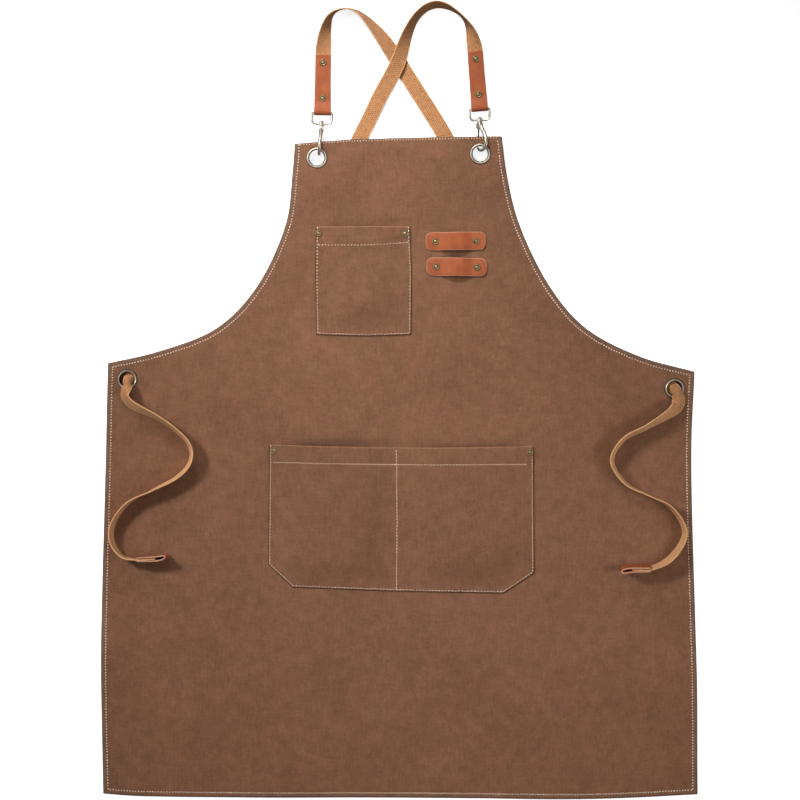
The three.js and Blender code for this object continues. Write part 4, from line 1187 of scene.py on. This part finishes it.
class Finish:
    """The nodes of a material or of the surroundings being put together."""

    def __init__(self, owner, surface="Principled BSDF"):
        owner.use_nodes = True
        self.tree = owner.node_tree
        self.surface = self.tree.nodes[surface]

    def add(self, kind, settings=None, inputs=None, output=0):
        node = self.tree.nodes.new(kind)
        for name, value in (settings or {}).items():
            setattr(node, name, value)
        for key, value in (inputs or {}).items():
            self.feed(node.inputs[key], value)
        return Field(self, node.outputs[output])

    def feed(self, socket, value):
        if isinstance(value, Field):
            self.tree.links.new(value.socket, socket)
        else:
            socket.default_value = value

    def set(self, **values):
        """Sets or links the surface's own sockets, spaces written as underscores."""
        for name, value in values.items():
            self.feed(self.surface.inputs[name.replace("_", " ")], value)

    def place(self, output):
        return self.add("ShaderNodeTexCoord", output=output)

    def split(self, vector):
        return [self.add("ShaderNodeSeparateXYZ", inputs={0: vector}, output=k) for k in range(3)]

    def scaled(self, vector, scale):
        return self.add("ShaderNodeMapping", inputs={"Vector": vector, "Scale": scale})

    def noise(self, vector, scale, detail):
        return self.add("ShaderNodeTexNoise", inputs={"Vector": vector, "Scale": scale, "Detail": detail})

    def mottle(self, vector, scale, detail):
        """Noise that swings about none."""
        return self.noise(vector, scale, detail) - 0.5

    def attribute(self, name):
        return self.add("ShaderNodeAttribute", {"attribute_name": name}, output="Fac")

    def mix(self, share, first, second):
        inputs = {0: share, 6: self.solid(first), 7: self.solid(second)}
        return self.add("ShaderNodeMix", {"data_type": "RGBA"}, inputs, output=2)

    def solid(self, colour):
        return colour if isinstance(colour, Field) else (*colour, 1.0)

    def brighten(self, colour, factor):
        return self.add("ShaderNodeVectorMath", {"operation": "SCALE"}, {0: colour, "Scale": factor})

    def bump(self, height, distance, strength, normal=None):
        inputs = {"Height": height, "Distance": distance, "Strength": strength}
        if normal is not None:
            inputs["Normal"] = normal
        return self.add("ShaderNodeBump", inputs=inputs)


def new_finish(name):
    return Finish(bpy.data.materials.new(name))


def canvas_finish(colours):
    """Brushed brown canvas: plain weave, slubby yarns, soft red and olive clouds, a greyer hem, painted
    shade along the cut and sewn edges and a painted highlight along the pockets' mouths.
    """
    finish = new_finish("brushed_canvas")
    place = finish.place("Object")
    x, y, _ = finish.split(place)
    pocket = finish.attribute("pocket")
    clouds = finish.mottle(place, 24, 3) * 1.5 + 0.5 - pocket * 0.1
    colour = finish.mix(clouds.ease(0, 1), colours.canvas_olive, colours.canvas_warm)
    colour = finish.mix(finish.attribute("hem") * 0.75, colour, colours.canvas_hem)
    wash = finish.mottle(place, 9, 2)
    patches = finish.mottle(place, 75, 4)
    grain = finish.mottle(place, 420, 2)
    slub_warp = finish.mottle(finish.scaled(place, (400, 60, 1)), 1, 2)
    slub_weft = finish.mottle(finish.scaled(place, (60, 400, 1)), 1, 2)
    yarn = math.pi / CANVAS_YARN
    warp = (x * yarn + slub_warp * 1.5).sine()
    weft = (y * yarn + slub_weft * 1.5).sine()
    weave = warp * weft
    # Painted shade: darker within about 2 mm of a cut edge, and much darker along a pocket's sewn edges,
    # where a rolled edge turns away from the light.
    edge = (1 - finish.attribute("edge").ease(-0.3, 1.9)) * (0.22 + 0.38 * pocket)
    slubs = slub_warp * 0.38 + slub_weft * 0.26
    # Painted highlight: the canvas is lightened along the folded edge of each pocket's mouth.
    tone = 1 - edge - pocket * 0.03 + finish.attribute("lip") * 0.4
    tone = tone + wash * 0.34 + patches * 0.52 + grain * 0.52 + slubs + weave * 0.06
    finish.set(Base_Color=finish.brighten(colour, tone), Roughness=0.95, Specular_IOR_Level=0.08)
    finish.set(Sheen_Weight=0.03, Sheen_Roughness=0.6)
    fine = finish.bump(weave + 1.6 * grain + 2.2 * (slub_warp + slub_weft), 0.0003, 0.7)
    finish.set(Normal=finish.bump(patches, 0.0016, 0.45, fine))


def leather_finish(colours):
    """Orange-tan leather: fine pebble grain, uneven dye, soft sheen."""
    finish = new_finish("tan_leather")
    place = finish.place("Object")
    dye = finish.noise(place, 70, 4).ease(0.3, 0.72)
    darker = tuple(0.86 * part for part in colours.leather)
    lighter = tuple(min(1, 1.08 * part) for part in colours.leather)
    colour = finish.mix(dye, darker, lighter)
    cells = {"Vector": place, "Scale": 1100}
    pores = finish.add("ShaderNodeTexVoronoi", {"feature": "DISTANCE_TO_EDGE"}, cells)
    creases = finish.mottle(place, 380, 4)
    tone = 0.94 + pores.ease(0, 0.25) * 0.07 + creases * 0.16
    finish.set(Base_Color=finish.brighten(colour, tone), Roughness=0.46 + creases * 0.25)
    grain = finish.bump(pores.ease(0, 0.3) + creases * 1.5, 0.00018, 0.55)
    finish.set(Normal=grain, Specular_IOR_Level=0.22)


def leather_edge_finish(colours):
    """Raw cut edge of the leather: paler, with fine fibres."""
    finish = new_finish("cut_leather")
    fibres = finish.mottle(finish.place("Object"), 900, 4)
    blend = finish.mix((fibres + 0.5).ease(0.1, 0.6), colours.leather, colours.leather_edge)
    finish.set(Base_Color=finish.brighten(blend, 1 + fibres * 0.4))
    finish.set(Roughness=0.75, Normal=finish.bump(fibres, 0.0003, 0.5))


def webbing_finish(colours):
    """Golden-tan cotton webbing: chevrons that follow the strap, plain selvedges, loose yarn tones, paler
    ties that are in part painted light, and painted shade on the slack under the waist eyelets.
    """
    finish = new_finish("cotton_webbing")
    place = finish.place("UV")
    across, along, _ = finish.split(place)
    chevron = abs((across * (math.pi / WEB_CHEVRON)).sine())
    ribs = (along * (2 * math.pi / WEB_RIB) + chevron * 5.0).sine()
    ends = (across * (2 * math.pi / WEB_END)).sine()
    edge_ribs = (along * (2 * math.pi / SELVEDGE_RIB)).sine()
    selvedge = abs(across).ease(0.0079, 0.0086)
    weave = (ribs * 0.6 + ends * 0.3) * (1 - selvedge) + edge_ribs * 0.4 * selvedge
    yarns = finish.mottle(finish.scaled(place, (700, 210, 1)), 1, 3)
    age = finish.mottle(finish.place("Object"), 60, 3)
    # Paler selvedges, and paler ties whose lighter tone is in part painted light on their standing faces.
    pale_and_lit = selvedge * 0.6 + finish.attribute("tie") * 0.45
    share = (weave * 0.4 + yarns * 1.5 + 0.44 - pale_and_lit).ease(-0.3, 1.05)
    colour = finish.mix(share, colours.webbing, colours.webbing_dark)
    # Painted shade: the slack under the waist eyelets is darkened, as it lies in the shade under the cloth.
    tone = (1 + age * 0.3 + yarns * 0.3) * (1 - finish.attribute("under") * 0.7)
    finish.set(Base_Color=finish.brighten(colour, tone), Roughness=0.85)
    finish.set(Sheen_Weight=0.1, Specular_IOR_Level=0.2)
    finish.set(Normal=finish.bump(weave + yarns * 2, 0.0004, 0.8))


def thread_finish(colours):
    """Pale twisted sewing thread, darker and warmer where it is soiled."""
    finish = new_finish("sewing_thread")
    place = finish.place("Object")
    twist = finish.mottle(place, 1500, 2)
    soil = finish.mottle(place, 35, 3).ease(-0.05, 0.3)
    clean = colours.thread
    colour = finish.mix(soil, tuple(clean), (0.72 * clean[0], 0.6 * clean[1], 0.52 * clean[2]))
    finish.set(Base_Color=finish.brighten(colour, 1 + twist * 0.3))
    finish.set(Roughness=0.7, Normal=finish.bump(twist, 0.0002, 0.5))


def plated_finish(name, bright, colours, rough):
    """Antique plating: dark film in the recesses, rubbed bright on the high spots; the same dark colour
    paints shade on the rims and on the waist eyelets.
    """
    finish = new_finish(name)
    place = finish.place("Object")
    rubbed = finish.mottle(place, 260, 4)
    specks = finish.mottle(place, 1400, 3)
    polish = (finish.attribute("polish") + rubbed * 0.6 + specks * 0.3).ease(0.0, 0.75)
    finish.set(Base_Color=finish.mix(polish, colours.patina_and_shade, bright), Metallic=0.85)
    finish.set(Roughness=rough + (1 - polish) * 0.3 + specks * 0.15)
    finish.set(Normal=finish.bump(rubbed * 0.5 + specks, 0.0001, 0.4))


# Pieces

class PieceOperator:
    """What the operators share: registration options and the sizes."""

    bl_options = {"REGISTER"}

    @staticmethod
    def sizes(context):
        return context.scene.apron_sizes


class APRON_OT_finishes(PieceOperator, bpy.types.Operator):
    """Make the finishes of canvas, leather, webbing, thread and metal"""

    bl_idname = "apron.finishes"
    bl_label = "Finishes"

    def execute(self, context):
        colours = context.scene.apron_colours
        canvas_finish(colours)
        leather_finish(colours)
        leather_edge_finish(colours)
        webbing_finish(colours)
        thread_finish(colours)
        plated_finish("rubbed_nickel", colours.nickel, colours, rough=0.36)
        plated_finish("rubbed_brass", colours.brass, colours, rough=0.47)
        return {"FINISHED"}


class APRON_OT_body_panel(PieceOperator, bpy.types.Operator):
    """Lay out the canvas panel with its folded hem and eyelet holes"""

    bl_idname = "apron.body_panel"
    bl_label = "Body panel"

    def execute(self, context):
        shape = PanelShape(self.sizes(context))
        panel = sheet_object("canvas_panel", shape.plan(), shape.top_height, shape.under_height)
        for node in EYELET_NODES:
            low, high = (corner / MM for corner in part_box(node))
            middle = (low + high) / 2
            centre = (middle.x, middle.y, 0)
            hole = rod("hole", EYELET_HOLE, low=-20, high=40, axis="z", centre=centre, bevel=0.1)
            combine(panel, hole, "DIFFERENCE")
        points = mesh_points(panel)[:, :2]
        side, top = shape.edge(points)
        # The distance from the edge also sets the painted shade along the panel's edges.
        set_attribute(panel, "edge", np.minimum(side, top))
        foot = smooth(points[:, 1], -470, -455)
        strip = 1 - smooth(side, shape.stitch - 0.6, shape.stitch + 0.6)
        brim = 1 - smooth(top, 1.2, 2.4)
        set_attribute(panel, "hem", np.maximum(strip * (0.35 + 0.65 * foot), brim))
        smooth_shade(panel, 60)
        dress(panel, "apron", ["brushed_canvas"], ["body_panel"])
        return {"FINISHED"}


class APRON_OT_pockets(PieceOperator, bpy.types.Operator):
    """Sew on the chest pocket and the waist pocket"""

    bl_idname = "apron.pockets"
    bl_label = "Pockets"

    def execute(self, context):
        sizes = self.sizes(context)
        for name in POCKETS:
            shape = PocketShape(name, sizes)
            pocket = sheet_object(f"canvas_{name}", shape.plan(), shape.top_height, shape.under_height)
            points = mesh_points(pocket)[:, :2]
            # The distance from the sewn edges also sets the painted shade along the pocket's edges.
            set_attribute(pocket, "edge", distance_to(points, shape.sewn))
            # Marks the folded edge of the mouth for the painted highlight.
            set_attribute(pocket, "lip", 1 - smooth(distance_to(points, shape.mouth_line), 0.4, 1.7))
            set_attribute(pocket, "pocket", np.ones(len(points)))
            smooth_shade(pocket, 60)
            dress(pocket, "apron", ["brushed_canvas"], [name])
        return {"FINISHED"}


class APRON_OT_tool_loops(PieceOperator, bpy.types.Operator):
    """Cut the leather tool loops and arch them between their rivets"""

    bl_idname = "apron.tool_loops"
    bl_label = "Tool loops"

    def execute(self, context):
        thick = self.sizes(context).mm("leather")
        loop = self.strip(thick)
        for node, tilt in TOOL_LOOP_TILT.items():
            low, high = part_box(node)
            middle = (low + high) / 2
            middle.z = low.z
            place = Matrix.Translation(middle) @ Matrix.Rotation(math.radians(tilt), 4, "Z")
            made = copy_of(loop, f"leather_{node}", place)
            dress(made, "apron", ["tan_leather", "cut_leather"], [node])
        bpy.data.objects.remove(loop)
        return {"FINISHED"}

    @staticmethod
    def strip(thick):
        length, width = TOOL_LOOP["length"] * MM, TOOL_LOOP["width"] * MM
        deselect()
        bpy.ops.mesh.primitive_plane_add(size=1)
        loop = bpy.context.object
        bpy.ops.object.mode_set(mode="EDIT")
        bpy.ops.transform.resize(value=(length, width, 1))
        bpy.ops.mesh.bevel(offset=TOOL_LOOP["corner"] * MM, segments=8, affect="VERTICES")
        cuts = [((x * MM, 0, 0), (1, 0, 0)) for x in LOOP_CUTS_ALONG]
        cuts += [((0, y * MM, 0), (0, 1, 0)) for y in LOOP_CUTS_ACROSS]
        for place, normal in cuts:
            bpy.ops.mesh.select_all(action="SELECT")
            bpy.ops.mesh.bisect(plane_co=place, plane_no=normal)
        bpy.ops.object.mode_set(mode="OBJECT")
        for vertex in loop.data.vertices:
            x = vertex.co.x / MM
            arch = 1 - smooth(abs(x), TOOL_LOOP["flat"] - 3, TOOL_LOOP["foot"] + 1)
            vertex.co.z = TOOL_LOOP["clear"] * float(arch) * MM
        solid = loop.modifiers.new("thickness", "SOLIDIFY")
        solid.thickness = thick * MM
        solid.offset = 1
        solid.material_offset_rim = 1
        eased = loop.modifiers.new("eased edges", "BEVEL")
        eased.width = 0.65 * MM
        eased.material = 1
        eased.segments = 3
        eased.limit_method = "ANGLE"
        loop.data.materials.append(bpy.data.materials["tan_leather"])
        loop.data.materials.append(bpy.data.materials["cut_leather"])
        apply_modifiers(loop)
        smooth_shade(loop, 50)
        return loop


class APRON_OT_eyelets(PieceOperator, bpy.types.Operator):
    """Press the metal eyelets into the panel"""

    bl_idname = "apron.eyelets"
    bl_label = "Eyelets"

    def execute(self, context):
        for node in EYELET_NODES:
            low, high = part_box(node)
            front = high.z / MM - EYELET_FRONT_SEAT
            back = low.z / MM + EYELET_BACK_SEAT
            # The waist eyelets take the darker column of polish, which is in part painted shade.
            column = 3 if "waist" in node else 2
            profile = [(row[0], front + row[1], row[column]) for row in EYELET_FRONT]
            profile += [(radius, back + rise, polish) for radius, rise, polish in EYELET_BACK]
            profile += [(EYELET_SLEEVE, level, HIDDEN_POLISH) for level in (back, front)]
            profile.append(profile[0])
            eyelet = turned(f"metal_{node}", profile, sides=72)
            stand_on(eyelet, node)
            dress(eyelet, "apron", ["rubbed_nickel"], [node])
        return {"FINISHED"}


class APRON_OT_rivets(PieceOperator, bpy.types.Operator):
    """Set the rivets of the pockets, tool loops and strap tabs"""

    bl_idname = "apron.rivets"
    bl_label = "Rivets"

    def execute(self, context):
        for node in RIVET_NODES:
            low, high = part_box(node)
            seat = high.z / MM - RIVET_HEAD_SEAT
            back = low.z / MM + RIVET_CAP_SEAT
            profile = [(radius, back + rise, CAP_POLISH) for radius, rise in RIVET_CAP]
            profile.append((RIVET_SHANK, seat, HIDDEN_POLISH))
            profile += [(radius, seat + rise, polish) for radius, rise, polish in RIVET_HEAD]
            rivet = turned(f"metal_{node}", profile, sides=40)
            stand_on(rivet, node)
            dress(rivet, "apron", ["rubbed_brass"], [node])
        return {"FINISHED"}


class APRON_OT_straps(PieceOperator, bpy.types.Operator):
    """Lay the two webbing straps along their tables"""

    bl_idname = "apron.straps"
    bl_label = "Straps"

    def execute(self, context):
        sizes = self.sizes(context)
        section = strip_section(sizes.mm("web_width"), sizes.mm("web_thick"), corner=0.75, parts=12)
        for name, rows in (("strap_left", STRAP_LEFT), ("strap_right", STRAP_RIGHT)):
            strap = self.strap(f"webbing_{name}", rows, section, sizes)
            slack = self.slack(WAIST_SLACK[name], section, sizes)
            pick(strap)
            slack.select_set(True)
            bpy.ops.object.join()
            smooth_shade(strap, 60)
            dress(strap, "apron", ["cotton_webbing"], [name])
        return {"FINISHED"}

    @staticmethod
    def strap(name, rows, section, sizes):
        half_width = sizes.mm("web_width") / 2
        half_thick = sizes.mm("web_thick") / 2
        names = [row[0] for row in rows]
        centres = []
        for index, (_, x, y, lift, roll, _) in enumerate(rows):
            turn = math.radians(roll)
            standing = half_width * abs(math.sin(turn)) + half_thick * abs(math.cos(turn))
            landed = index >= names.index(LANDING)
            ground = float(cloth_under(x, y)) + sizes.mm("cloth") if landed else 0
            centres.append((x, y, ground + lift + GAP + standing))
        route = Route(centres)
        places = route.places(np.arange(0, route.length(), STRAP_STEP))
        counts = np.arange(len(rows))
        rolls = np.radians(soften(np.interp(places, counts, [row[4] for row in rows])))
        cups = soften(np.interp(places, counts, [row[5] for row in rows]))
        line = route.at(places)
        along = unit(np.gradient(line, axis=0))
        side = unit(np.cross((0, 0, 1), along))
        above = np.cross(along, side)
        cosine, sine = np.cos(rolls)[:, None], np.sin(rolls)[:, None]
        made = sweep(name, line, side * cosine + above * sine, above * cosine - side * sine, section, cups)
        start = names.index(TIE_START)
        # Marks the tie, whose paler webbing is in part painted light.
        set_attribute(made, "tie", np.repeat(smooth(places, start - 1, start + 1), len(section)))
        return made

    @staticmethod
    def slack(ends, section, sizes):
        """The strap's flat fold on the floor under its waist eyelet."""
        start, stop = (np.array((*end, GAP + sizes.mm("web_thick") / 2)) for end in ends)
        line = np.linspace(start, stop, 8)
        along = (stop - start) / np.linalg.norm(stop - start)
        side = np.cross((0, 0, 1), along)
        count = len(line)
        strip = sweep("slack", line, np.tile(side, (count, 1)), np.tile((0, 0, 1.0), (count, 1)), section)
        # Marks the slack for the painted shade in the webbing's finish.
        set_attribute(strip, "under", np.ones(len(strip.data.vertices)))
        return strip


class APRON_OT_strap_tabs(PieceOperator, bpy.types.Operator):
    """Fold the leather tabs round the eyes and over the straps' ends"""

    bl_idname = "apron.strap_tabs"
    bl_label = "Strap tabs"

    def execute(self, context):
        thick = self.sizes(context).mm("leather")
        bend = np.radians(np.linspace(-100, -260, 17))
        fold = [(TAB_BEND * math.cos(angle), TAB_BEND * math.sin(angle)) for angle in bend]
        low = [(y, TAB_UNDER) for y in np.linspace(TAB_LENGTH, TAB_STRAIGHT, 20)]
        high = [(y, TAB_OVER) for y in np.linspace(TAB_STRAIGHT, TAB_LENGTH, 20)]
        route = Route([(0, y, z) for y, z in (*low, *TAB_RISE, *fold, *TAB_FALL, *high)])
        line = route.walk(np.linspace(0, route.length(), 110))
        at_eye, at_webbing = TAB_FLARE
        flare = at_eye + (at_webbing - at_eye) * np.clip(line[:, 1:2] / TAB_LENGTH, 0, 1)
        tab = folded_strip("tab", line, (1.0, 0, 0), TAB_WIDTH, thick, corner=0.5, flare=flare)
        for side, x, y, turn, _, _ in SNAPS:
            made = copy_of(tab, f"leather_tab_{side}", stood(x, y, EYE_HEIGHT, turn))
            dress(made, "apron", ["tan_leather", "cut_leather"], [f"strap_tab_{side}"])
        bpy.data.objects.remove(tab)
        return {"FINISHED"}


class APRON_OT_snap_hooks(PieceOperator, bpy.types.Operator):
    """Make the swivel eyes, hooks and gates of the snap hooks"""

    bl_idname = "apron.snap_hooks"
    bl_label = "Snap hooks"

    def execute(self, context):
        models = {"eye": self.eye(), "hook": self.hook(), "gate": self.gate()}
        for name, model in models.items():
            along = mesh_points(model)[:, 1]
            rod_part = (along < -GATE_ROD) if name == "gate" else np.zeros(len(along), bool)
            set_attribute(model, "polish", np.where(rod_part, GATE_POLISH, HOOK_POLISH))
            smooth_shade(model, 45)
        for side, x, y, _, turn, roll in SNAPS:
            lie = stood(x, y, EYE_HEIGHT, turn) @ Matrix.Rotation(math.radians(-HOOK_PITCH), 4, "X")
            collar = lie @ Matrix.Translation((0, -EYE_LENGTH * MM, 0))
            swivel = collar @ Matrix.Rotation(math.radians(roll), 4, "Y")
            pin = swivel @ Matrix.Translation(Vector(GATE_PIN) * MM)
            rows = (
                ("eye", f"swivel_eye_{side}", "apron", lie),
                ("hook", f"snap_hook_{side}", f"hook_{side}", swivel),
                ("gate", f"snap_gate_{side}", f"gate_{side}", pin),
            )
            for model, node, body, place in rows:
                made = copy_of(models[model], f"metal_{node}", place)
                dress(made, body, ["rubbed_nickel"], [node])
        for model in models.values():
            bpy.data.objects.remove(model)
        return {"FINISHED"}

    @staticmethod
    def eye():
        """A bent wire loop with a bored collar at its lower bar."""
        upper = -EYE_HIGH_ROUND - EYE_DROP
        lower = -EYE_LENGTH + EYE_LOW_ROUND
        corners = (
            (EYE_HALF - EYE_HIGH_ROUND, upper, EYE_HIGH_ROUND, 90),
            (EYE_HIGH_ROUND - EYE_HALF, upper, EYE_HIGH_ROUND, 180),
            (EYE_LOW_ROUND - EYE_HALF, lower, EYE_LOW_ROUND, 270),
            (EYE_HALF - EYE_LOW_ROUND, lower, EYE_LOW_ROUND, 360),
        )
        rows = []
        for x, y, radius, end in corners:
            for angle in np.radians(np.linspace(end - 90, end, 5)):
                rows.append((x + radius * math.cos(angle), y + radius * math.sin(angle), 0, EYE_WIRE))
        loop = wire("eye", rows, closed=True)
        collar = turned("collar", [(radius, rise, HOOK_POLISH) for radius, rise in COLLAR], sides=40)
        upright = Matrix.Rotation(math.pi / 2, 4, "X")
        collar.data.transform(Matrix.Translation((0, -EYE_LENGTH * MM, 0)) @ upright)
        bore = rod("bore", EYE_BORE, low=-6, high=6, axis="y", centre=(0, -EYE_LENGTH, 0), bevel=0.05)
        combine(loop, bore, "DIFFERENCE")
        combine(loop, collar, "UNION")
        return loop

    @staticmethod
    def hook():
        """A headed post, a forked boss with the gate's pin, and the bent bar."""
        hook = plate("hook", HOOK_BOSS, BOSS_WIDTH, bevel=0.7)
        combine(hook, wire("bar", [(0, y, z, radius) for y, z, radius in HOOK_LINE]), "UNION")
        combine(hook, plate("slot", HOOK_SLOT, SLOT_WIDTH, bevel=0.1), "DIFFERENCE")
        combine(hook, rod("post", POST_RADIUS, low=-3, high=3, axis="y"), "UNION")
        combine(hook, rod("head", HEAD_RADIUS, low=2.3, high=3.6, axis="y", bevel=0.5), "UNION")
        pin = rod("pin", PIN_RADIUS, low=-2.9, high=2.9, axis="x", centre=GATE_PIN, bevel=0.2)
        combine(hook, pin, "UNION")
        return hook

    @staticmethod
    def gate():
        """A knuckle on the pin and the thin rod that closes the hook."""
        gate = rod("gate", KNUCKLE_RADIUS, low=-1.1, high=1.1, axis="x", bevel=0.25)
        combine(gate, wire("gate_rod", [(0, y, z, radius) for y, z, radius in GATE_LINE]), "UNION")
        bore = rod("bore", KNUCKLE_BORE, low=-4, high=4, axis="x", bevel=0.05)
        combine(gate, bore, "DIFFERENCE")
        return gate


class APRON_OT_tie_tips(PieceOperator, bpy.types.Operator):
    """Fold the leather tips round the ends of the ties"""

    bl_idname = "apron.tie_tips"
    bl_label = "Tie tips"

    def execute(self, context):
        route = Route([(x, y, TIP_HEIGHT / 2) for x, y in TIP_LINE])
        line = route.walk(np.linspace(0, route.length(), 70))
        tip = folded_strip("tip", line, (0, 0, 1.0), TIP_HEIGHT, TIP_THICK, corner=0.45)
        for node, x, y, turn, ahead, aside in TIE_TIPS:
            ground = float(cloth_under(x, y)) + self.sizes(context).mm("cloth") + TIP_LIFT
            slant = Matrix.Translation(Vector((ahead, aside / 2, 0)) * MM)
            slant[0][2] = -ahead / TIP_HEIGHT
            slant[1][2] = -aside / TIP_HEIGHT
            made = copy_of(tip, f"leather_{node}", stood(x, y, ground, turn) @ slant)
            dress(made, "apron", ["tan_leather", "cut_leather"], [node])
        bpy.data.objects.remove(tip)
        return {"FINISHED"}


class APRON_OT_stitches(PieceOperator, bpy.types.Operator):
    """Sew the visible stitches of the hem and the pockets"""

    bl_idname = "apron.stitches"
    bl_label = "Stitches"

    def execute(self, context):
        sizes = self.sizes(context)
        panel = PanelShape(sizes)
        inset = inset_line(panel.hemmed, panel.stitch)
        inset = inset[inset[:, 1] < panel.top_line[:, 1].min() + HEM_STITCH_END]
        inset = inset[distance_to(inset, panel.hemmed) > panel.stitch - STITCH_SLACK]
        top = panel.top_line - (0, TOP_STITCH_INSET)
        left, right = EDGE[0][1] + TOP_STITCH_END, EDGE[0][3] - TOP_STITCH_END
        top = top[(top[:, 0] > left) & (top[:, 0] < right)]
        thread = sizes.mm("thread")
        lines = [(inset, HEM_DASH), (top, TOP_DASH)]
        self.sew("thread_hem", lines, panel.top_height, sizes.mm("hem_pitch"), HEM_THREAD * thread)
        for name in POCKETS:
            shape = PocketShape(name, sizes)
            hem = shape.hem.line(60)
            left, right = shape.seams[0] + shape.stitch, shape.seams[-1] - shape.stitch
            hem = hem[(hem[:, 0] > left) & (hem[:, 0] < right)]
            lines = [(inset_line(shape.sewn, shape.stitch), DASH), (hem, TIGHT_DASH)]
            for seam in shape.facts["seams"]:
                head = shape.facts["mouth"][1] - SEAM_STITCH_END
                foot = shape.facts["foot"][1] + shape.stitch
                line = np.array([(seam, head), (seam + SEAM_BOW, 0.5 * (head + foot)), (seam, foot)])
                lines.append((line, TIGHT_DASH))
            self.sew(f"thread_{name}", lines, shape.top_height, sizes.mm("pocket_pitch"), thread)
        return {"FINISHED"}

    @staticmethod
    def sew(name, lines, height, pitch, thickness):
        """One mesh of short thread loops along plan lines."""
        radius = thickness / 2
        draw = np.random.default_rng(STITCH_SEED)
        sides = np.radians(np.arange(0, 360, 60))
        points, faces = [], []
        for line, dash in lines:
            route = Polyline(line)
            walked = np.arange(0.5 * pitch, route.length() - 0.3 * pitch, pitch)
            middles = route.walk(walked)
            ahead = route.walk(walked + 0.4 * pitch) - route.walk(walked - 0.4 * pitch)
            angles = np.arctan2(ahead[:, 1], ahead[:, 0]) + draw.normal(0, STITCH_TURN, len(middles))
            middles = middles + draw.normal(0, STITCH_SCATTER, middles.shape)
            directions = np.stack([np.cos(angles), np.sin(angles)], axis=1)
            reach = 0.42 * pitch
            step = reach * directions
            rise = (height(middles + step) - height(middles - step)) / (2 * reach)
            levels = height(middles) + STITCH_LIFT * radius
            for middle, direction, slope, level in zip(middles, directions, rise, levels):
                start = len(points) * len(sides)
                for along, thick, up in STITCH_RINGS:
                    run = along * dash * pitch
                    aside = radius * thick * np.cos(sides)
                    lift = level + slope * run + radius * (up + thick * np.sin(sides))
                    across = np.array((-direction[1], direction[0]))
                    plan = middle + run * direction + aside[:, None] * across
                    points.append(np.column_stack([plan, lift]))
                faces += grid_faces(len(STITCH_RINGS), len(sides), start, wrap=True)
                last = start + (len(STITCH_RINGS) - 1) * len(sides)
                faces.append(list(range(start + len(sides) - 1, start - 1, -1)))
                faces.append(list(range(last, last + len(sides))))
        thread = new_object(name, np.concatenate(points), faces)
        smooth_shade(thread, 70)
        dress(thread, "apron", ["sewing_thread"])


class APRON_OT_stage(PieceOperator, bpy.types.Operator):
    """Set the floor, the softboxes and the camera straight above"""

    bl_idname = "apron.stage"
    bl_label = "Stage"

    def execute(self, context):
        stage = context.scene.apron_stage
        deselect()
        bpy.ops.mesh.primitive_plane_add(size=FLOOR_SIZE, location=(0, 0, -FLOOR_DROP))
        floor = context.object
        floor.name = "floor"
        finish = new_finish("studio_floor")
        finish.set(Base_Color=(*stage.floor, 1.0), Roughness=0.9)
        finish.set(Emission_Color=(*stage.floor, 1.0), Emission_Strength=stage.floor_glow)
        floor.data.materials.append(bpy.data.materials["studio_floor"])
        floor.visible_diffuse = False
        floor.visible_glossy = False
        for name, power, place, target, size, spread in SOFTBOXES:
            bpy.ops.object.light_add(type="AREA", location=place)
            light = context.object
            light.name = name
            light.data.shape = "SQUARE"
            light.data.size = size
            light.data.energy = getattr(stage, power)
            light.data.spread = math.radians(spread)
            aim = Vector(target) - light.location
            light.rotation_euler = aim.to_track_quat("-Z", "Y").to_euler()
        world = bpy.data.worlds.new("studio")
        sky = Finish(world, "Background")
        height = sky.split(sky.place("Generated"))[2]
        glow = stage.horizon + height.ease(0.8, 1.0) * (stage.zenith - stage.horizon)
        sky.set(Color=(1, 1, 1, 1), Strength=glow)
        context.scene.world = world
        bpy.ops.object.camera_add(location=(0, 0, stage.view_width * stage.lens / SENSOR))
        camera = context.object
        camera.name = "camera"
        camera.data.sensor_width = SENSOR
        camera.data.lens = stage.lens
        context.scene.camera = camera
        context.scene.view_settings.view_transform = "Standard"
        return {"FINISHED"}


OPERATORS = (
    APRON_OT_finishes,
    APRON_OT_body_panel,
    APRON_OT_pockets,
    APRON_OT_tool_loops,
    APRON_OT_eyelets,
    APRON_OT_rivets,
    APRON_OT_straps,
    APRON_OT_strap_tabs,
    APRON_OT_snap_hooks,
    APRON_OT_tie_tips,
    APRON_OT_stitches,
    APRON_OT_stage,
)


class APRON_PT_pieces(bpy.types.Panel):
    """Lists the operators and the settings"""

    bl_label = "Canvas apron"
    bl_idname = "APRON_PT_pieces"
    bl_space_type = "VIEW_3D"
    bl_region_type = "UI"
    bl_category = "Apron"

    def draw(self, context):
        for operator in OPERATORS:
            self.layout.operator(operator.bl_idname)
        for group in (context.scene.apron_sizes, context.scene.apron_colours, context.scene.apron_stage):
            box = self.layout.box()
            for name in group.__annotations__:
                box.prop(group, name)


CLASSES = (ApronSizes, ApronColours, ApronStage, *OPERATORS, APRON_PT_pieces)


def register():
    for item in CLASSES:
        bpy.utils.register_class(item)
    bpy.types.Scene.apron_sizes = PointerProperty(type=ApronSizes)
    bpy.types.Scene.apron_colours = PointerProperty(type=ApronColours)
    bpy.types.Scene.apron_stage = PointerProperty(type=ApronStage)


def unregister():
    del bpy.types.Scene.apron_stage
    del bpy.types.Scene.apron_colours
    del bpy.types.Scene.apron_sizes
    for item in reversed(CLASSES):
        bpy.utils.unregister_class(item)


def main():
    register()
    bpy.ops.apron.finishes()
    bpy.ops.apron.body_panel()
    bpy.ops.apron.pockets()
    bpy.ops.apron.tool_loops()
    bpy.ops.apron.eyelets()
    bpy.ops.apron.rivets()
    bpy.ops.apron.straps()
    bpy.ops.apron.strap_tabs()
    bpy.ops.apron.snap_hooks()
    bpy.ops.apron.tie_tips()
    bpy.ops.apron.stitches()
    bpy.ops.apron.stage()


if __name__ == "__main__":
    main()
